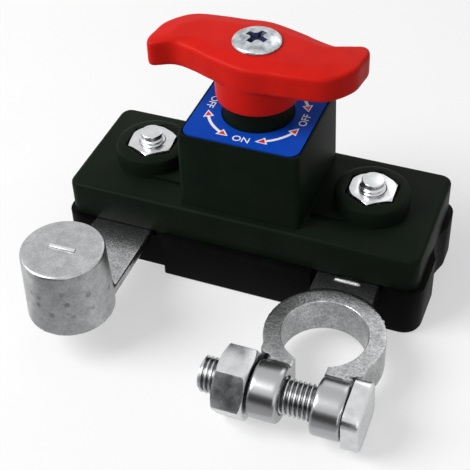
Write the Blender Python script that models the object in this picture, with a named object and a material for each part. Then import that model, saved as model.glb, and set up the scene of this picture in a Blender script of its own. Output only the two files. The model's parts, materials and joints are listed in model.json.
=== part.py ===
"""Battery terminal disconnect switch.

Metres, +Z up. The origin is the middle of the base's underside. X runs along the housing, and -Y is
the side where the battery post and the post clamp stand out. The knob is modelled at OFF.
"""

import math

import bmesh
import bpy
from mathutils import Matrix, Vector

# Clearances
GAP = 0.0003  # between two pieces that meet
STUD_CLEARANCE = 0.0004  # round a stud, per side
POCKET_CLEARANCE = 0.0005  # round a hexagon in its pocket, per side

# Housing
COVER_LENGTH = 0.0827
COVER_WIDTH = 0.0311
COVER_HEIGHT = 0.0085
COVER_CORNER = 0.0026
COVER_EDGE = 0.0009  # rounding of the cover's top edge
BASE_HEIGHT = 0.01185
BASE_RIM = 0.00125  # how far the base stands out from the cover all round
BASE_CORNER = 0.0042
BASE_EDGE = 0.0008
WALL = 0.0020
FLOOR = 0.0020
END_NOTCH_DEPTH = 0.0014
END_NOTCH_WIDTH = 0.0112
END_NOTCH_Y = 0.0022
SLOT_WIDTH = 0.0174  # the recess in the base's front where a terminal leaves
SLOT_DEPTH = 0.0027

# Tower
TOWER_LENGTH = 0.0283
TOWER_WIDTH = 0.0275
TOWER_HEIGHT = 0.0192
TOWER_DRAFT = 0.00033  # per side, over the whole height
TOWER_CORNER = 0.0012
TOWER_ROOF = 0.0025
LABEL_INSET = 0.0005
LABEL_CORNER = 0.0022
LABEL_THICKNESS = 0.0004
COLLAR_RADIUS = 0.0078
COLLAR_HEIGHT = 0.0045

# Studs
STUD_INSET = 0.01485  # stud axis from the cover's end
STUD_RADIUS = 0.0029
STUD_HEX = 0.0100
STUD_HEAD_HEIGHT = 0.0040
STUD_NUT_HEIGHT = 0.0052
STUD_END = 0.0024  # how far a stud stands out of its nut
BOSS_RADIUS = 0.0085
BOSS_HEIGHT = 0.0045
BOSS_EDGE = 0.0010
PLINTH_HEIGHT = 0.0008  # low pad between a boss and the tower
PLINTH_HALF_WIDTH = 0.0079
PLINTH_GAP = 0.0007
STUD_TUBE_RADIUS = 0.0065
STUD_BLOCK = 0.0150

# Terminal bars
BAR_WIDTH = 0.0142
BAR_THICKNESS = 0.0024
BAR_END_Y = 0.0080  # inner end, behind the stud
POST_BAR_OFFSET = 0.0015  # the post's bar, outboard of its stud
CLAMP_BAR_OFFSET = 0.00035  # the clamp's bar, inboard of its stud

# Battery post
POST_OFFSET = 0.0007  # outboard of its bar
POST_REACH = 0.0240  # in front of the base
POST_HEIGHT = 0.0166
POST_TOP_RADIUS = 0.0090
POST_TAPER = 0.00055  # growth in radius down to the foot
POST_EDGE = 0.0005
SIGN_LENGTH = 0.0053
SIGN_WIDTH = 0.0009
SIGN_HEIGHT = 0.0004

# Post clamp
CLAMP_OFFSET = 0.0003  # outboard of its bar
CLAMP_REACH = 0.0163  # in front of the base
CLAMP_BORE = 0.00915
CLAMP_WALL = 0.0037
CLAMP_HEIGHT = 0.0084
CLAMP_STEP = 0.0005  # ring above the bar
CLAMP_EDGE = 0.0006
EAR_REACH = 0.0092  # from the bore's centre line to the ears' front
EAR_OUTER = 0.0112
EAR_CORNER = 0.0013  # bevel at the ears' outer front corners
EAR_GAP = 0.0069
BARREL_RADIUS = 0.0061
BARREL_LENGTH = 0.0064
BARREL_REACH = 0.0152  # in front of the clamp's bore
WEB_HEIGHT = 0.0070
WEB_INSET = 0.0009

# Clamp bolt
BOLT_RADIUS = 0.0039
BOLT_HEAD = 0.0120
BOLT_HEAD_CORNER = 0.0016
BOLT_HEAD_HEIGHT = 0.0037
BOLT_HEAD_TURN = 8.0  # degrees
BOLT_END = 0.0045  # how far the bolt stands out of its nut
CLAMP_NUT_HEX = 0.0130
CLAMP_NUT_HEIGHT = 0.0068

# Rotor and its detents
SHAFT_RADIUS = 0.0050
STEM_RADIUS = 0.0065
FLANGE_RADIUS = 0.0106
FLANGE_THICKNESS = 0.0053
DRIVE_SQUARE = 0.0072
DRIVE_HEIGHT = 0.0072
SEAL_SECTION = 0.0011
CHAMBER_RADIUS = 0.0044
CHAMBER_HEIGHT = 0.0110
DETENT_CIRCLE = 0.0082
DETENT_BALL = 0.0013
DETENT_LIFT = 0.0005  # how far a ball enters its race
DIMPLE_EXTRA = 0.0004  # how much deeper the four dimples are than the race
DETENT_POCKET = 0.0045

# Contacts
CONTACT_THICKNESS = 0.0015
CONTACT_WIDTH = 0.0100
CONTACT_OVERLAP = 0.0033
BRIDGE_ROOM = 0.00175  # between the bridge's end and the housing's wall
BRIDGE_WIDTH = 0.0090
PIVOT_RADIUS = 0.0020
PIVOT_HEIGHT = 0.0042
PILLAR_RADIUS = 0.0036
REST_WIDTH = 0.0084
SPRING_WIRE = 0.0009
DETENT_WIRE = 0.00044

# Knob
KNOB_HEIGHT = 0.0128
WING_THICKNESS = 0.0065
WING_HALF_WIDTH = 0.0097
WING_REACH = 0.0231
WING_EDGE = 0.0014
CROWN = 0.0007
SKIRT_RADIUS = 0.0091
SKIRT_FLARE = 0.0003
KNOB_SCREW_RADIUS = 0.00175
KNOB_SCREW_HEAD = 0.0052
KNOB_SCREW_HEAD_HEIGHT = 0.0015
KNOB_SCREW_GRIP = 0.0055  # length of thread in the rotor
CROSS_LENGTH = 0.0046
CROSS_WIDTH = 0.0011
CROSS_DEPTH = 0.0009

# Cover screws
SCREW_INSET = 0.00315  # screw axis from the cover's ends
SCREW_Y_INSET = 0.00365  # screw axis from the cover's long sides
SCREW_RADIUS = 0.0013
SCREW_HEAD_RADIUS = 0.0026
SCREW_HEAD_HEIGHT = 0.0018
SCREW_POST_RADIUS = 0.0027
SCREW_SINK = 0.0006  # head below the base's underside
SCREW_ROOM = 0.0012  # cover left above the screw

# Levels worked out from the sizes above
COVER_FOOT = BASE_HEIGHT + GAP
COVER_TOP = COVER_FOOT + COVER_HEIGHT
TOWER_TOP = COVER_TOP + TOWER_HEIGHT
ROOF_UNDER = TOWER_TOP - TOWER_ROOF
LABEL_SEAT = TOWER_TOP - LABEL_THICKNESS
COLLAR_TOP = TOWER_TOP + COLLAR_HEIGHT
SKIRT_FOOT = COLLAR_TOP + GAP
KNOB_TOP = SKIRT_FOOT + KNOB_HEIGHT
WING_FOOT = KNOB_TOP - WING_THICKNESS
BAR_TOP = BASE_HEIGHT
BAR_FOOT = BAR_TOP - BAR_THICKNESS
SEAT_TOP = BAR_FOOT - GAP
CONTACT_FOOT = BAR_TOP + GAP
CONTACT_TOP = CONTACT_FOOT + CONTACT_THICKNESS
BRIDGE_FOOT = CONTACT_TOP + GAP
BRIDGE_TOP = BRIDGE_FOOT + CONTACT_THICKNESS
BOSS_TOP = COVER_TOP + BOSS_HEIGHT
NUT_TOP = BOSS_TOP + GAP
NUT_FOOT = NUT_TOP - STUD_NUT_HEIGHT
FLANGE_TOP = ROOF_UNDER - GAP
FLANGE_FOOT = FLANGE_TOP - FLANGE_THICKNESS
BALL_CENTRE = ROOF_UNDER + DETENT_LIFT - DETENT_BALL
POCKET_FOOT = FLANGE_TOP - DETENT_POCKET
STEM_FOOT = BRIDGE_FOOT
CHAMBER_TOP = BRIDGE_TOP + CHAMBER_HEIGHT
DRIVE_TOP = SKIRT_FOOT + DRIVE_HEIGHT
SOCKET_TOP = DRIVE_TOP + GAP
CLAMP_TOP = BAR_TOP + CLAMP_STEP
CLAMP_FOOT = CLAMP_TOP - CLAMP_HEIGHT
CLAMP_MIDDLE = (CLAMP_TOP + CLAMP_FOOT) / 2
CLAMP_OUTER = CLAMP_BORE + CLAMP_WALL
BASE_LENGTH = COVER_LENGTH + 2 * BASE_RIM
BASE_WIDTH = COVER_WIDTH + 2 * BASE_RIM
STUD_X = COVER_LENGTH / 2 - STUD_INSET
POST_BAR_X = -STUD_X - POST_BAR_OFFSET
POST_X = POST_BAR_X - POST_OFFSET
POST_Y = -BASE_WIDTH / 2 - POST_REACH
CLAMP_BAR_X = STUD_X - CLAMP_BAR_OFFSET
CLAMP_X = CLAMP_BAR_X + CLAMP_OFFSET
CLAMP_Y = -BASE_WIDTH / 2 - CLAMP_REACH
BARREL_Y = CLAMP_Y - BARREL_REACH
BRIDGE_HALF_LENGTH = COVER_WIDTH / 2 - WALL - BRIDGE_ROOM
SLOT_BACK_Y = -BASE_WIDTH / 2 + SLOT_DEPTH
SCREW_X = COVER_LENGTH / 2 - SCREW_INSET
SCREW_Y = COVER_WIDTH / 2 - SCREW_Y_INSET
CONTACT_END_X = BRIDGE_HALF_LENGTH - CONTACT_OVERLAP
EAR_FRONT_Y = CLAMP_Y - EAR_REACH
LEFT_BARREL_X = CLAMP_X - EAR_GAP / 2 - BARREL_LENGTH
RIGHT_BARREL_X = CLAMP_X + EAR_GAP / 2
BOLT_HEAD_X = RIGHT_BARREL_X + BARREL_LENGTH + GAP
CLAMP_NUT_X = LEFT_BARREL_X - GAP - CLAMP_NUT_HEIGHT
BORE_RADIUS = SHAFT_RADIUS + 0.0005
SIDES = (-1, 1)
PAST = 0.0010  # how far a cutter runs past the face it opens


def clear_scene():
    for item in list(bpy.data.objects):
        bpy.data.objects.remove(item, do_unlink=True)


def material(name, colour, roughness, metallic=0.0):
    """A Principled BSDF with linear colour values."""
    made = bpy.data.materials.new(name)
    made.use_nodes = True
    shader = made.node_tree.nodes["Principled BSDF"]
    shader.inputs["Base Color"].default_value = (*colour, 1.0)
    shader.inputs["Roughness"].default_value = roughness
    shader.inputs["Metallic"].default_value = metallic
    return made


# Outlines: closed lists of (x, y), counter-clockwise
def circle(radius, steps, centre=(0.0, 0.0), start=0.0):
    turn = 2 * math.pi / steps
    return [
        (centre[0] + radius * math.cos(start + turn * i), centre[1] + radius * math.sin(start + turn * i))
        for i in range(steps)
    ]


def hexagon(across_flats, centre=(0.0, 0.0)):
    """Corners along Y, flats along X."""
    return circle(across_flats / math.sqrt(3), 6, centre, math.pi / 2)


def rounded_rectangle(low, high, radius, steps=4):
    points = []
    corners = (
        (high[0] - radius, high[1] - radius, 0),
        (low[0] + radius, high[1] - radius, 90),
        (low[0] + radius, low[1] + radius, 180),
        (high[0] - radius, low[1] + radius, 270),
    )
    for x, y, first in corners:
        for i in range(steps + 1):
            angle = math.radians(first + 90 * i / steps)
            points.append((x + radius * math.cos(angle), y + radius * math.sin(angle)))
    return points


def centred(length, width, radius, steps=4):
    return rounded_rectangle((-length / 2, -width / 2), (length / 2, width / 2), radius, steps)


def smooth_loop(anchors, steps):
    """A closed Catmull-Rom curve through the anchors."""
    count = len(anchors)
    points = []
    for i in range(count):
        a, b, c, d = (Vector(anchors[(i + k) % count]) for k in (-1, 0, 1, 2))
        for j in range(steps):
            t = j / steps
            p = 0.5 * (2 * b + (c - a) * t + (2 * a - 5 * b + 4 * c - d) * t**2)
            p += 0.5 * (3 * b - a - 3 * c + d) * t**3
            points.append((p.x, p.y))
    return points


def inset_loop(outline, distance):
    """The outline drawn in by a distance that is less than its smallest radius."""
    points = []
    for i, (x, y) in enumerate(outline):
        before = outline[i - 1]
        after = outline[(i + 1) % len(outline)]
        along = Vector((after[0] - before[0], after[1] - before[1])).normalized()
        points.append((x - along.y * distance, y + along.x * distance))
    return points


# Solids
def lofted(rings):
    """Loops with equal counts of (x, y, z), joined in order, with flat ends."""
    bm = bmesh.new()
    loops = [[bm.verts.new(point) for point in ring] for ring in rings]
    count = len(loops[0])
    for lower, upper in zip(loops, loops[1:]):
        for i in range(count):
            j = (i + 1) % count
            bm.faces.new((lower[i], lower[j], upper[j]))
            bm.faces.new((lower[i], upper[j], upper[i]))
    bm.faces.new(loops[0])
    bm.faces.new(loops[-1])
    bmesh.ops.recalc_face_normals(bm, faces=bm.faces)
    return bm


def prism(outline, low, high, top_shrink=0.0):
    """The outline extruded from low to high. top_shrink draws the top in, per side, for draft."""
    bm = bmesh.new()
    foot = bm.faces.new([bm.verts.new((x, y, low)) for x, y in outline])
    made = bmesh.ops.extrude_face_region(bm, geom=[foot])
    upper = [v for v in made["geom"] if isinstance(v, bmesh.types.BMVert)]
    middle = sum((v.co for v in upper), Vector()) / len(upper)
    half = Vector((max(abs(v.co.x - middle.x) for v in upper), max(abs(v.co.y - middle.y) for v in upper)))
    for v in upper:
        v.co.z = high
        v.co.x = middle.x + (v.co.x - middle.x) * (1 - top_shrink / half.x)
        v.co.y = middle.y + (v.co.y - middle.y) * (1 - top_shrink / half.y)
    bmesh.ops.recalc_face_normals(bm, faces=bm.faces)
    return bm


def round_edges(bm, level, width, segments=2):
    """Rounds the edges that lie at one height."""
    picked = [e for e in bm.edges if all(abs(v.co.z - level) < 1e-6 for v in e.verts)]
    bmesh.ops.bevel(
        bm,
        geom=picked,
        offset=width,
        offset_type="OFFSET",
        segments=segments,
        profile=0.5,
        affect="EDGES",
        clamp_overlap=True,
    )
    return bm


def turned(profile, steps, centre=(0.0, 0.0), start=0.0):
    """A profile of (radius, z), from the axis to the axis, spun about a line along Z."""
    bm = bmesh.new()
    rings = []
    for radius, z in profile:
        if radius < 1e-7:
            rings.append([bm.verts.new((centre[0], centre[1], z))])
        else:
            rings.append([bm.verts.new((x, y, z)) for x, y in circle(radius, steps, centre, start)])
    for lower, upper in zip(rings, rings[1:]):
        for i in range(steps):
            j = (i + 1) % steps
            corners = [lower[i % len(lower)], lower[j % len(lower)], upper[j % len(upper)], upper[i % len(upper)]]
            bm.faces.new(list(dict.fromkeys(corners)))
    bmesh.ops.recalc_face_normals(bm, faces=bm.faces)
    return bm


def cylinder(radius, low, high, steps=32, centre=(0.0, 0.0), edge=0.0):
    """A round bar along Z, with both ends chamfered by edge."""
    if edge:
        profile = [(0, low), (radius - edge, low), (radius, low + edge)]
        profile += [(radius, high - edge), (radius - edge, high), (0, high)]
    else:
        profile = [(0, low), (radius, low), (radius, high), (0, high)]
    return turned(profile, steps, centre)


def tube(outer, inner, low, high, steps, edge):
    """A round pipe along Z, with its outer edges chamfered."""
    bm = bmesh.new()
    profile = [(inner, low), (outer - edge, low), (outer, low + edge)]
    profile += [(outer, high - edge), (outer - edge, high), (inner, high)]
    rings = [[bm.verts.new((x, y, z)) for x, y in circle(radius, steps)] for radius, z in profile]
    for lower, upper in zip(rings, rings[1:] + rings[:1]):
        for i in range(steps):
            j = (i + 1) % steps
            bm.faces.new((lower[i], lower[j], upper[j], upper[i]))
    bmesh.ops.recalc_face_normals(bm, faces=bm.faces)
    return bm


def ring_tube(radius, section, steps, section_steps, height):
    """A closed ring of round section about the Z axis."""
    bm = bmesh.new()
    rings = []
    for i in range(steps):
        turn = Matrix.Rotation(2 * math.pi * i / steps, 3, "Z")
        rings.append(
            [bm.verts.new(turn @ Vector((radius + x, 0, height + z))) for x, z in circle(section, section_steps)]
        )
    for i, ring in enumerate(rings):
        after = rings[(i + 1) % steps]
        for k in range(section_steps):
            m = (k + 1) % section_steps
            bm.faces.new((ring[k], ring[m], after[m], after[k]))
    bmesh.ops.recalc_face_normals(bm, faces=bm.faces)
    return bm


def coil(radius, wire, low, high, turns, steps_per_turn, sides, centre=(0.0, 0.0)):
    """An open coil of round wire along Z, with closed ends."""
    bm = bmesh.new()
    rings = []
    count = int(turns * steps_per_turn)
    rise = (high - low - wire) / count
    for i in range(count + 1):
        turn = Matrix.Rotation(2 * math.pi * i / steps_per_turn, 3, "Z")
        level = low + wire / 2 + rise * i
        rings.append(
            [
                bm.verts.new(turn @ Vector((radius + x, 0, level + z)) + Vector((*centre, 0)))
                for x, z in circle(wire / 2, sides)
            ]
        )
    for before, after in zip(rings, rings[1:]):
        for k in range(sides):
            m = (k + 1) % sides
            bm.faces.new((before[k], before[m], after[m], after[k]))
    bm.faces.new(rings[0])
    bm.faces.new(rings[-1])
    bmesh.ops.recalc_face_normals(bm, faces=bm.faces)
    return bm


def together(*solids):
    """Separate solids in one mesh."""
    bm = bmesh.new()
    for solid in solids:
        mesh = bpy.data.meshes.new("part")
        solid.to_mesh(mesh)
        solid.free()
        bm.from_mesh(mesh)
        bpy.data.meshes.remove(mesh)
    return bm


def lying(y, z):
    """Z becomes X, in whole numbers, so that flat faces stay exactly flat."""
    return Matrix(((0, 0, 1, 0), (0, 1, 0, y), (-1, 0, 0, z), (0, 0, 0, 1)))


def along_x(bm, y, z):
    """Lays a solid that was made along Z down along X, at that height and depth."""
    bm.transform(lying(y, z))
    return bm


# Objects
def add_object(name, bm):
    mesh = bpy.data.meshes.new(name)
    bm.to_mesh(mesh)
    bm.free()
    made = bpy.data.objects.new(name, mesh)
    bpy.context.scene.collection.objects.link(made)
    return made


def node(name, bm, finish, smooth=35):
    made = add_object(name, bm)
    made.data.materials.append(finish)
    made.data.shade_smooth()
    made.data.set_sharp_from_angle(angle=math.radians(smooth))
    return made


def tool(name, bm):
    """A solid that only shapes another one."""
    made = add_object(name, bm)
    made.hide_render = True
    made.display_type = "WIRE"
    return made


def shape(target, operation, name, bm):
    step = target.modifiers.new(name, "BOOLEAN")
    step.operation = operation
    step.solver = "EXACT"
    step.object = tool(target.name + "_" + name, bm)


def fuse(target, name, *solids):
    shape(target, "UNION", name, together(*solids))


def cut(target, name, *solids):
    shape(target, "DIFFERENCE", name, together(*solids))


def keep(target, name, *solids):
    shape(target, "INTERSECT", name, together(*solids))


def screw_places():
    return [(i * SCREW_X, j * SCREW_Y) for i in SIDES for j in SIDES]


# Sub-parts
def make_lower_base(finish):
    body = prism(centred(BASE_LENGTH, BASE_WIDTH, BASE_CORNER, 6), 0, BASE_HEIGHT)
    round_edges(body, 0, BASE_EDGE)
    base = node("lower_base", body, finish)

    notch_radius = ((END_NOTCH_WIDTH / 2) ** 2 + END_NOTCH_DEPTH**2) / (2 * END_NOTCH_DEPTH)
    notch_x = BASE_LENGTH / 2 - END_NOTCH_DEPTH + notch_radius
    notches = [
        cylinder(notch_radius, -PAST, BASE_HEIGHT + PAST, 64, (i * notch_x, END_NOTCH_Y)) for i in SIDES
    ]
    slots = [
        prism(
            rounded_rectangle(
                (i * STUD_X - SLOT_WIDTH / 2, -BASE_WIDTH / 2 - 4 * PAST),
                (i * STUD_X + SLOT_WIDTH / 2, SLOT_BACK_Y),
                BASE_EDGE,
                2,
            ),
            -PAST,
            BASE_HEIGHT + PAST,
        )
        for i in SIDES
    ]
    cut(base, "end_notches", *notches)
    cut(base, "terminal_slots", *slots)
    inner_x = BASE_LENGTH / 2 - END_NOTCH_DEPTH - WALL
    cut(
        base,
        "cavity",
        prism(
            rounded_rectangle(
                (-inner_x, SLOT_BACK_Y + WALL), (inner_x, BASE_WIDTH / 2 - WALL), BASE_EDGE, 3
            ),
            FLOOR,
            BASE_HEIGHT + PAST,
        ),
    )
    rest_inner = STEM_RADIUS + 2 * GAP
    blocks = [
        prism(
            rounded_rectangle(
                (i * STUD_X - STUD_BLOCK / 2, -STUD_BLOCK / 2), (i * STUD_X + STUD_BLOCK / 2, STUD_BLOCK / 2), WALL / 2
            ),
            FLOOR / 2,
            SEAT_TOP,
        )
        for i in SIDES
    ]
    rests = [
        prism(
            rounded_rectangle(
                (-REST_WIDTH / 2, min(i * rest_inner, i * BRIDGE_HALF_LENGTH)),
                (REST_WIDTH / 2, max(i * rest_inner, i * BRIDGE_HALF_LENGTH)),
                WALL / 4,
                2,
            ),
            FLOOR / 2,
            CONTACT_TOP,
        )
        for i in SIDES
    ]
    pillar_top = BRIDGE_FOOT - GAP
    pillar = turned(
        [
            (0, FLOOR / 2),
            (PILLAR_RADIUS, FLOOR / 2),
            (PILLAR_RADIUS, pillar_top),
            (PIVOT_RADIUS, pillar_top),
            (PIVOT_RADIUS, pillar_top + PIVOT_HEIGHT),
            (0, pillar_top + PIVOT_HEIGHT),
        ],
        24,
    )
    posts = [cylinder(SCREW_POST_RADIUS, FLOOR / 2, BASE_HEIGHT, 20, place) for place in screw_places()]
    fuse(base, "inner_supports", *blocks, *rests, pillar)
    fuse(base, "screw_posts", *posts)

    pockets = [
        prism(
            hexagon(STUD_HEX + 2 * POCKET_CLEARANCE, (i * STUD_X, 0)),
            SEAT_TOP - STUD_HEAD_HEIGHT - GAP,
            SEAT_TOP + PAST,
        )
        for i in SIDES
    ]
    bar_notches = [
        prism(
            rounded_rectangle(
                (x - BAR_WIDTH / 2 - GAP, SLOT_BACK_Y - PAST), (x + BAR_WIDTH / 2 + GAP, SLOT_BACK_Y + WALL + PAST), GAP, 1
            ),
            SEAT_TOP,
            BASE_HEIGHT + PAST,
        )
        for x in (POST_BAR_X, CLAMP_BAR_X)
    ]
    sink = SCREW_SINK + SCREW_HEAD_HEIGHT + GAP
    holes = [
        turned(
            [
                (0, -PAST),
                (SCREW_HEAD_RADIUS + GAP, -PAST),
                (SCREW_HEAD_RADIUS + GAP, sink),
                (SCREW_RADIUS + GAP, sink),
                (SCREW_RADIUS + GAP, BASE_HEIGHT + PAST),
                (0, BASE_HEIGHT + PAST),
            ],
            20,
            place,
        )
        for place in screw_places()
    ]
    cut(base, "stud_pockets", *pockets)
    cut(base, "bar_notches", *bar_notches)
    cut(base, "screw_holes", *holes)


def make_upper_cover(finish):
    body = prism(centred(COVER_LENGTH, COVER_WIDTH, COVER_CORNER, 5), COVER_FOOT, COVER_TOP)
    round_edges(body, COVER_TOP, COVER_EDGE, 3)
    cover = node("upper_cover", body, finish)

    inside = COVER_TOP - WALL
    plinth_x = TOWER_LENGTH / 2 + PLINTH_GAP
    plinths = [
        prism(
            rounded_rectangle(
                (min(i * plinth_x, i * STUD_X), -PLINTH_HALF_WIDTH),
                (max(i * plinth_x, i * STUD_X), PLINTH_HALF_WIDTH),
                GAP,
                1,
            ),
            inside + WALL / 2,
            COVER_TOP + PLINTH_HEIGHT,
        )
        for i in SIDES
    ]
    fuse(cover, "plinths", *plinths)
    bosses = [
        turned(
            [
                (0, inside),
                (BOSS_RADIUS, inside),
                (BOSS_RADIUS, BOSS_TOP - BOSS_EDGE),
                (BOSS_RADIUS - 0.3 * BOSS_EDGE, BOSS_TOP - 0.3 * BOSS_EDGE),
                (BOSS_RADIUS - BOSS_EDGE, BOSS_TOP),
                (0, BOSS_TOP),
            ],
            40,
            (i * STUD_X, 0),
        )
        for i in SIDES
    ]
    fuse(cover, "bosses", *bosses)
    tower = prism(centred(TOWER_LENGTH, TOWER_WIDTH, TOWER_CORNER, 3), inside, TOWER_TOP, TOWER_DRAFT)
    round_edges(tower, TOWER_TOP, TOWER_CORNER / 2, 2)
    fuse(cover, "tower", tower)

    label_length = TOWER_LENGTH - 2 * (TOWER_DRAFT + LABEL_INSET)
    label_width = TOWER_WIDTH - 2 * (TOWER_DRAFT + LABEL_INSET)
    cut(
        cover,
        "label_recess",
        prism(centred(label_length + GAP, label_width + GAP, LABEL_CORNER), LABEL_SEAT - GAP, TOWER_TOP + PAST),
    )
    fuse(cover, "collar", cylinder(COLLAR_RADIUS, ROOF_UNDER + WALL / 4, COLLAR_TOP, 40))

    inner_length = COVER_LENGTH - 2 * WALL
    inner_width = COVER_WIDTH - 2 * WALL
    cut(
        cover,
        "cavity",
        prism(centred(inner_length, inner_width, COVER_CORNER - WALL / 2, 3), COVER_FOOT - PAST, inside),
    )
    cut(
        cover,
        "tower_cavity",
        prism(
            centred(TOWER_LENGTH - 2 * WALL, TOWER_WIDTH - 2 * WALL, TOWER_CORNER, 3),
            inside - PAST,
            ROOF_UNDER,
            TOWER_DRAFT,
        ),
    )
    tubes = [
        cylinder(STUD_TUBE_RADIUS, CONTACT_TOP + GAP, COVER_TOP - WALL / 2, 32, (i * STUD_X, 0)) for i in SIDES
    ]
    posts = [cylinder(SCREW_POST_RADIUS, COVER_FOOT, COVER_TOP - WALL / 2, 20, place) for place in screw_places()]
    fuse(cover, "stud_tubes", *tubes)
    fuse(cover, "screw_posts", *posts)

    pockets = [
        prism(hexagon(STUD_HEX + 2 * POCKET_CLEARANCE, (i * STUD_X, 0)), NUT_FOOT - GAP, BOSS_TOP + PAST)
        for i in SIDES
    ]
    pilots = [
        cylinder(SCREW_RADIUS + GAP, COVER_FOOT - PAST, COVER_TOP - SCREW_ROOM, 16, place) for place in screw_places()
    ]
    cut(cover, "nut_pockets", *pockets)
    cut(cover, "screw_pilots", *pilots)
    bores = [
        cylinder(STUD_RADIUS + STUD_CLEARANCE, COVER_FOOT, BOSS_TOP, 24, (i * STUD_X, 0)) for i in SIDES
    ]
    dimple_radius = DETENT_BALL + GAP
    angles = [math.radians(a) for a in range(-90, 91, 30)]
    dimple_centre = BALL_CENTRE + DIMPLE_EXTRA
    profile = [(dimple_radius * math.cos(a), dimple_centre + dimple_radius * math.sin(a)) for a in angles]
    dimples = [
        turned(profile, 12, (DETENT_CIRCLE * math.cos(turn), DETENT_CIRCLE * math.sin(turn)), math.pi / 12)
        for turn in (math.pi / 2 * k for k in range(4))
    ]
    cut(cover, "ball_race", ring_tube(DETENT_CIRCLE, dimple_radius, 48, 14, BALL_CENTRE))
    shaft_bore = cylinder(BORE_RADIUS, ROOF_UNDER - PAST, COLLAR_TOP + PAST, 40)
    cut(cover, "bores", *bores, shaft_bore, *dimples)


def make_dial_label(finish):
    length = TOWER_LENGTH - 2 * (TOWER_DRAFT + LABEL_INSET) - GAP
    width = TOWER_WIDTH - 2 * (TOWER_DRAFT + LABEL_INSET) - GAP
    label = node(
        "dial_label", prism(centred(length, width, LABEL_CORNER), LABEL_SEAT, LABEL_SEAT + LABEL_THICKNESS), finish
    )
    cut(
        label,
        "collar_hole",
        cylinder(COLLAR_RADIUS + GAP, LABEL_SEAT - PAST, LABEL_SEAT + LABEL_THICKNESS + PAST, 40),
    )


def make_terminal_post(finish):
    foot_radius = POST_TOP_RADIUS + POST_TAPER
    top = BAR_FOOT + POST_HEIGHT
    body = turned(
        [
            (0, BAR_FOOT),
            (foot_radius - POST_EDGE, BAR_FOOT),
            (foot_radius, BAR_FOOT + POST_EDGE),
            (POST_TOP_RADIUS, top - POST_EDGE),
            (POST_TOP_RADIUS - POST_EDGE, top),
            (0, top),
        ],
        48,
        (POST_X, POST_Y),
    )
    post = node("terminal_post", body, finish)
    bar = prism(
        rounded_rectangle((POST_BAR_X - BAR_WIDTH / 2, POST_Y), (POST_BAR_X + BAR_WIDTH / 2, BAR_END_Y), BAR_THICKNESS / 2),
        BAR_FOOT + GAP / 2,
        BAR_TOP,
    )
    sign = prism(
        rounded_rectangle(
            (POST_X - SIGN_LENGTH / 2, POST_Y - SIGN_WIDTH / 2),
            (POST_X + SIGN_LENGTH / 2, POST_Y + SIGN_WIDTH / 2),
            SIGN_WIDTH / 3,
            2,
        ),
        top - SIGN_HEIGHT,
        top + SIGN_HEIGHT,
    )
    fuse(post, "bar", bar)
    fuse(post, "minus_sign", sign)
    cut(
        post,
        "stud_hole",
        cylinder(STUD_RADIUS + STUD_CLEARANCE, BAR_FOOT - PAST, BAR_TOP + PAST, 24, (-STUD_X, 0)),
    )


def clamp_outline():
    """The open ring and its two ears, seen from above."""
    half_gap = EAR_GAP / 2
    left = CLAMP_X - EAR_OUTER
    right = CLAMP_X + EAR_OUTER
    start = math.asin(EAR_OUTER / CLAMP_OUTER)
    sweep = 2 * math.pi - 2 * start
    points = [
        (CLAMP_X + half_gap, EAR_FRONT_Y),
        (right - 2 * EAR_CORNER, EAR_FRONT_Y),
        (right, EAR_FRONT_Y + EAR_CORNER),
    ]
    for i in range(33):
        angle = -math.pi / 2 + start + sweep * i / 32
        points.append((CLAMP_X + CLAMP_OUTER * math.cos(angle), CLAMP_Y + CLAMP_OUTER * math.sin(angle)))
    points.append((left, EAR_FRONT_Y + 2 * EAR_CORNER))
    points.append((left + 1.5 * EAR_CORNER, EAR_FRONT_Y))
    points.append((CLAMP_X - half_gap, EAR_FRONT_Y))
    start = math.asin(half_gap / CLAMP_BORE)
    sweep = 2 * math.pi - 2 * start
    for i in range(41):
        angle = -math.pi / 2 - start - sweep * i / 40
        points.append((CLAMP_X + CLAMP_BORE * math.cos(angle), CLAMP_Y + CLAMP_BORE * math.sin(angle)))
    return points


def make_terminal_clamp(finish):
    body = prism(clamp_outline(), CLAMP_FOOT, CLAMP_TOP)
    round_edges(body, CLAMP_TOP, CLAMP_EDGE)
    round_edges(body, CLAMP_FOOT, CLAMP_EDGE)
    clamp = node("terminal_clamp", body, finish)

    bar_start = CLAMP_Y + CLAMP_BORE + CLAMP_WALL / 3
    bar = prism(
        rounded_rectangle(
            (CLAMP_BAR_X - BAR_WIDTH / 2, bar_start), (CLAMP_BAR_X + BAR_WIDTH / 2, BAR_END_Y), BAR_THICKNESS / 2
        ),
        BAR_FOOT,
        BAR_TOP,
    )
    fuse(clamp, "bar", bar)
    webs = []
    barrels = []
    for x in (LEFT_BARREL_X, RIGHT_BARREL_X):
        web_low = (x + WEB_INSET, BARREL_Y + (BOLT_RADIUS + BARREL_RADIUS) / 2)
        web_high = (x + BARREL_LENGTH - WEB_INSET, EAR_FRONT_Y + CLAMP_WALL / 2)
        webs.append(
            prism(
                rounded_rectangle(web_low, web_high, GAP, 1),
                CLAMP_MIDDLE - WEB_HEIGHT / 2,
                CLAMP_MIDDLE + WEB_HEIGHT / 2,
            )
        )
        barrel = tube(BARREL_RADIUS, BOLT_RADIUS + GAP, x, x + BARREL_LENGTH, 40, CLAMP_EDGE)
        barrels.append(along_x(barrel, BARREL_Y, CLAMP_MIDDLE))
    fuse(clamp, "webs", *webs)
    fuse(clamp, "barrels", *barrels)
    stud_hole = cylinder(STUD_RADIUS + STUD_CLEARANCE, BAR_FOOT - PAST, BAR_TOP + PAST, 24, (STUD_X, 0))
    cut(clamp, "stud_hole", stud_hole)


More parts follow.
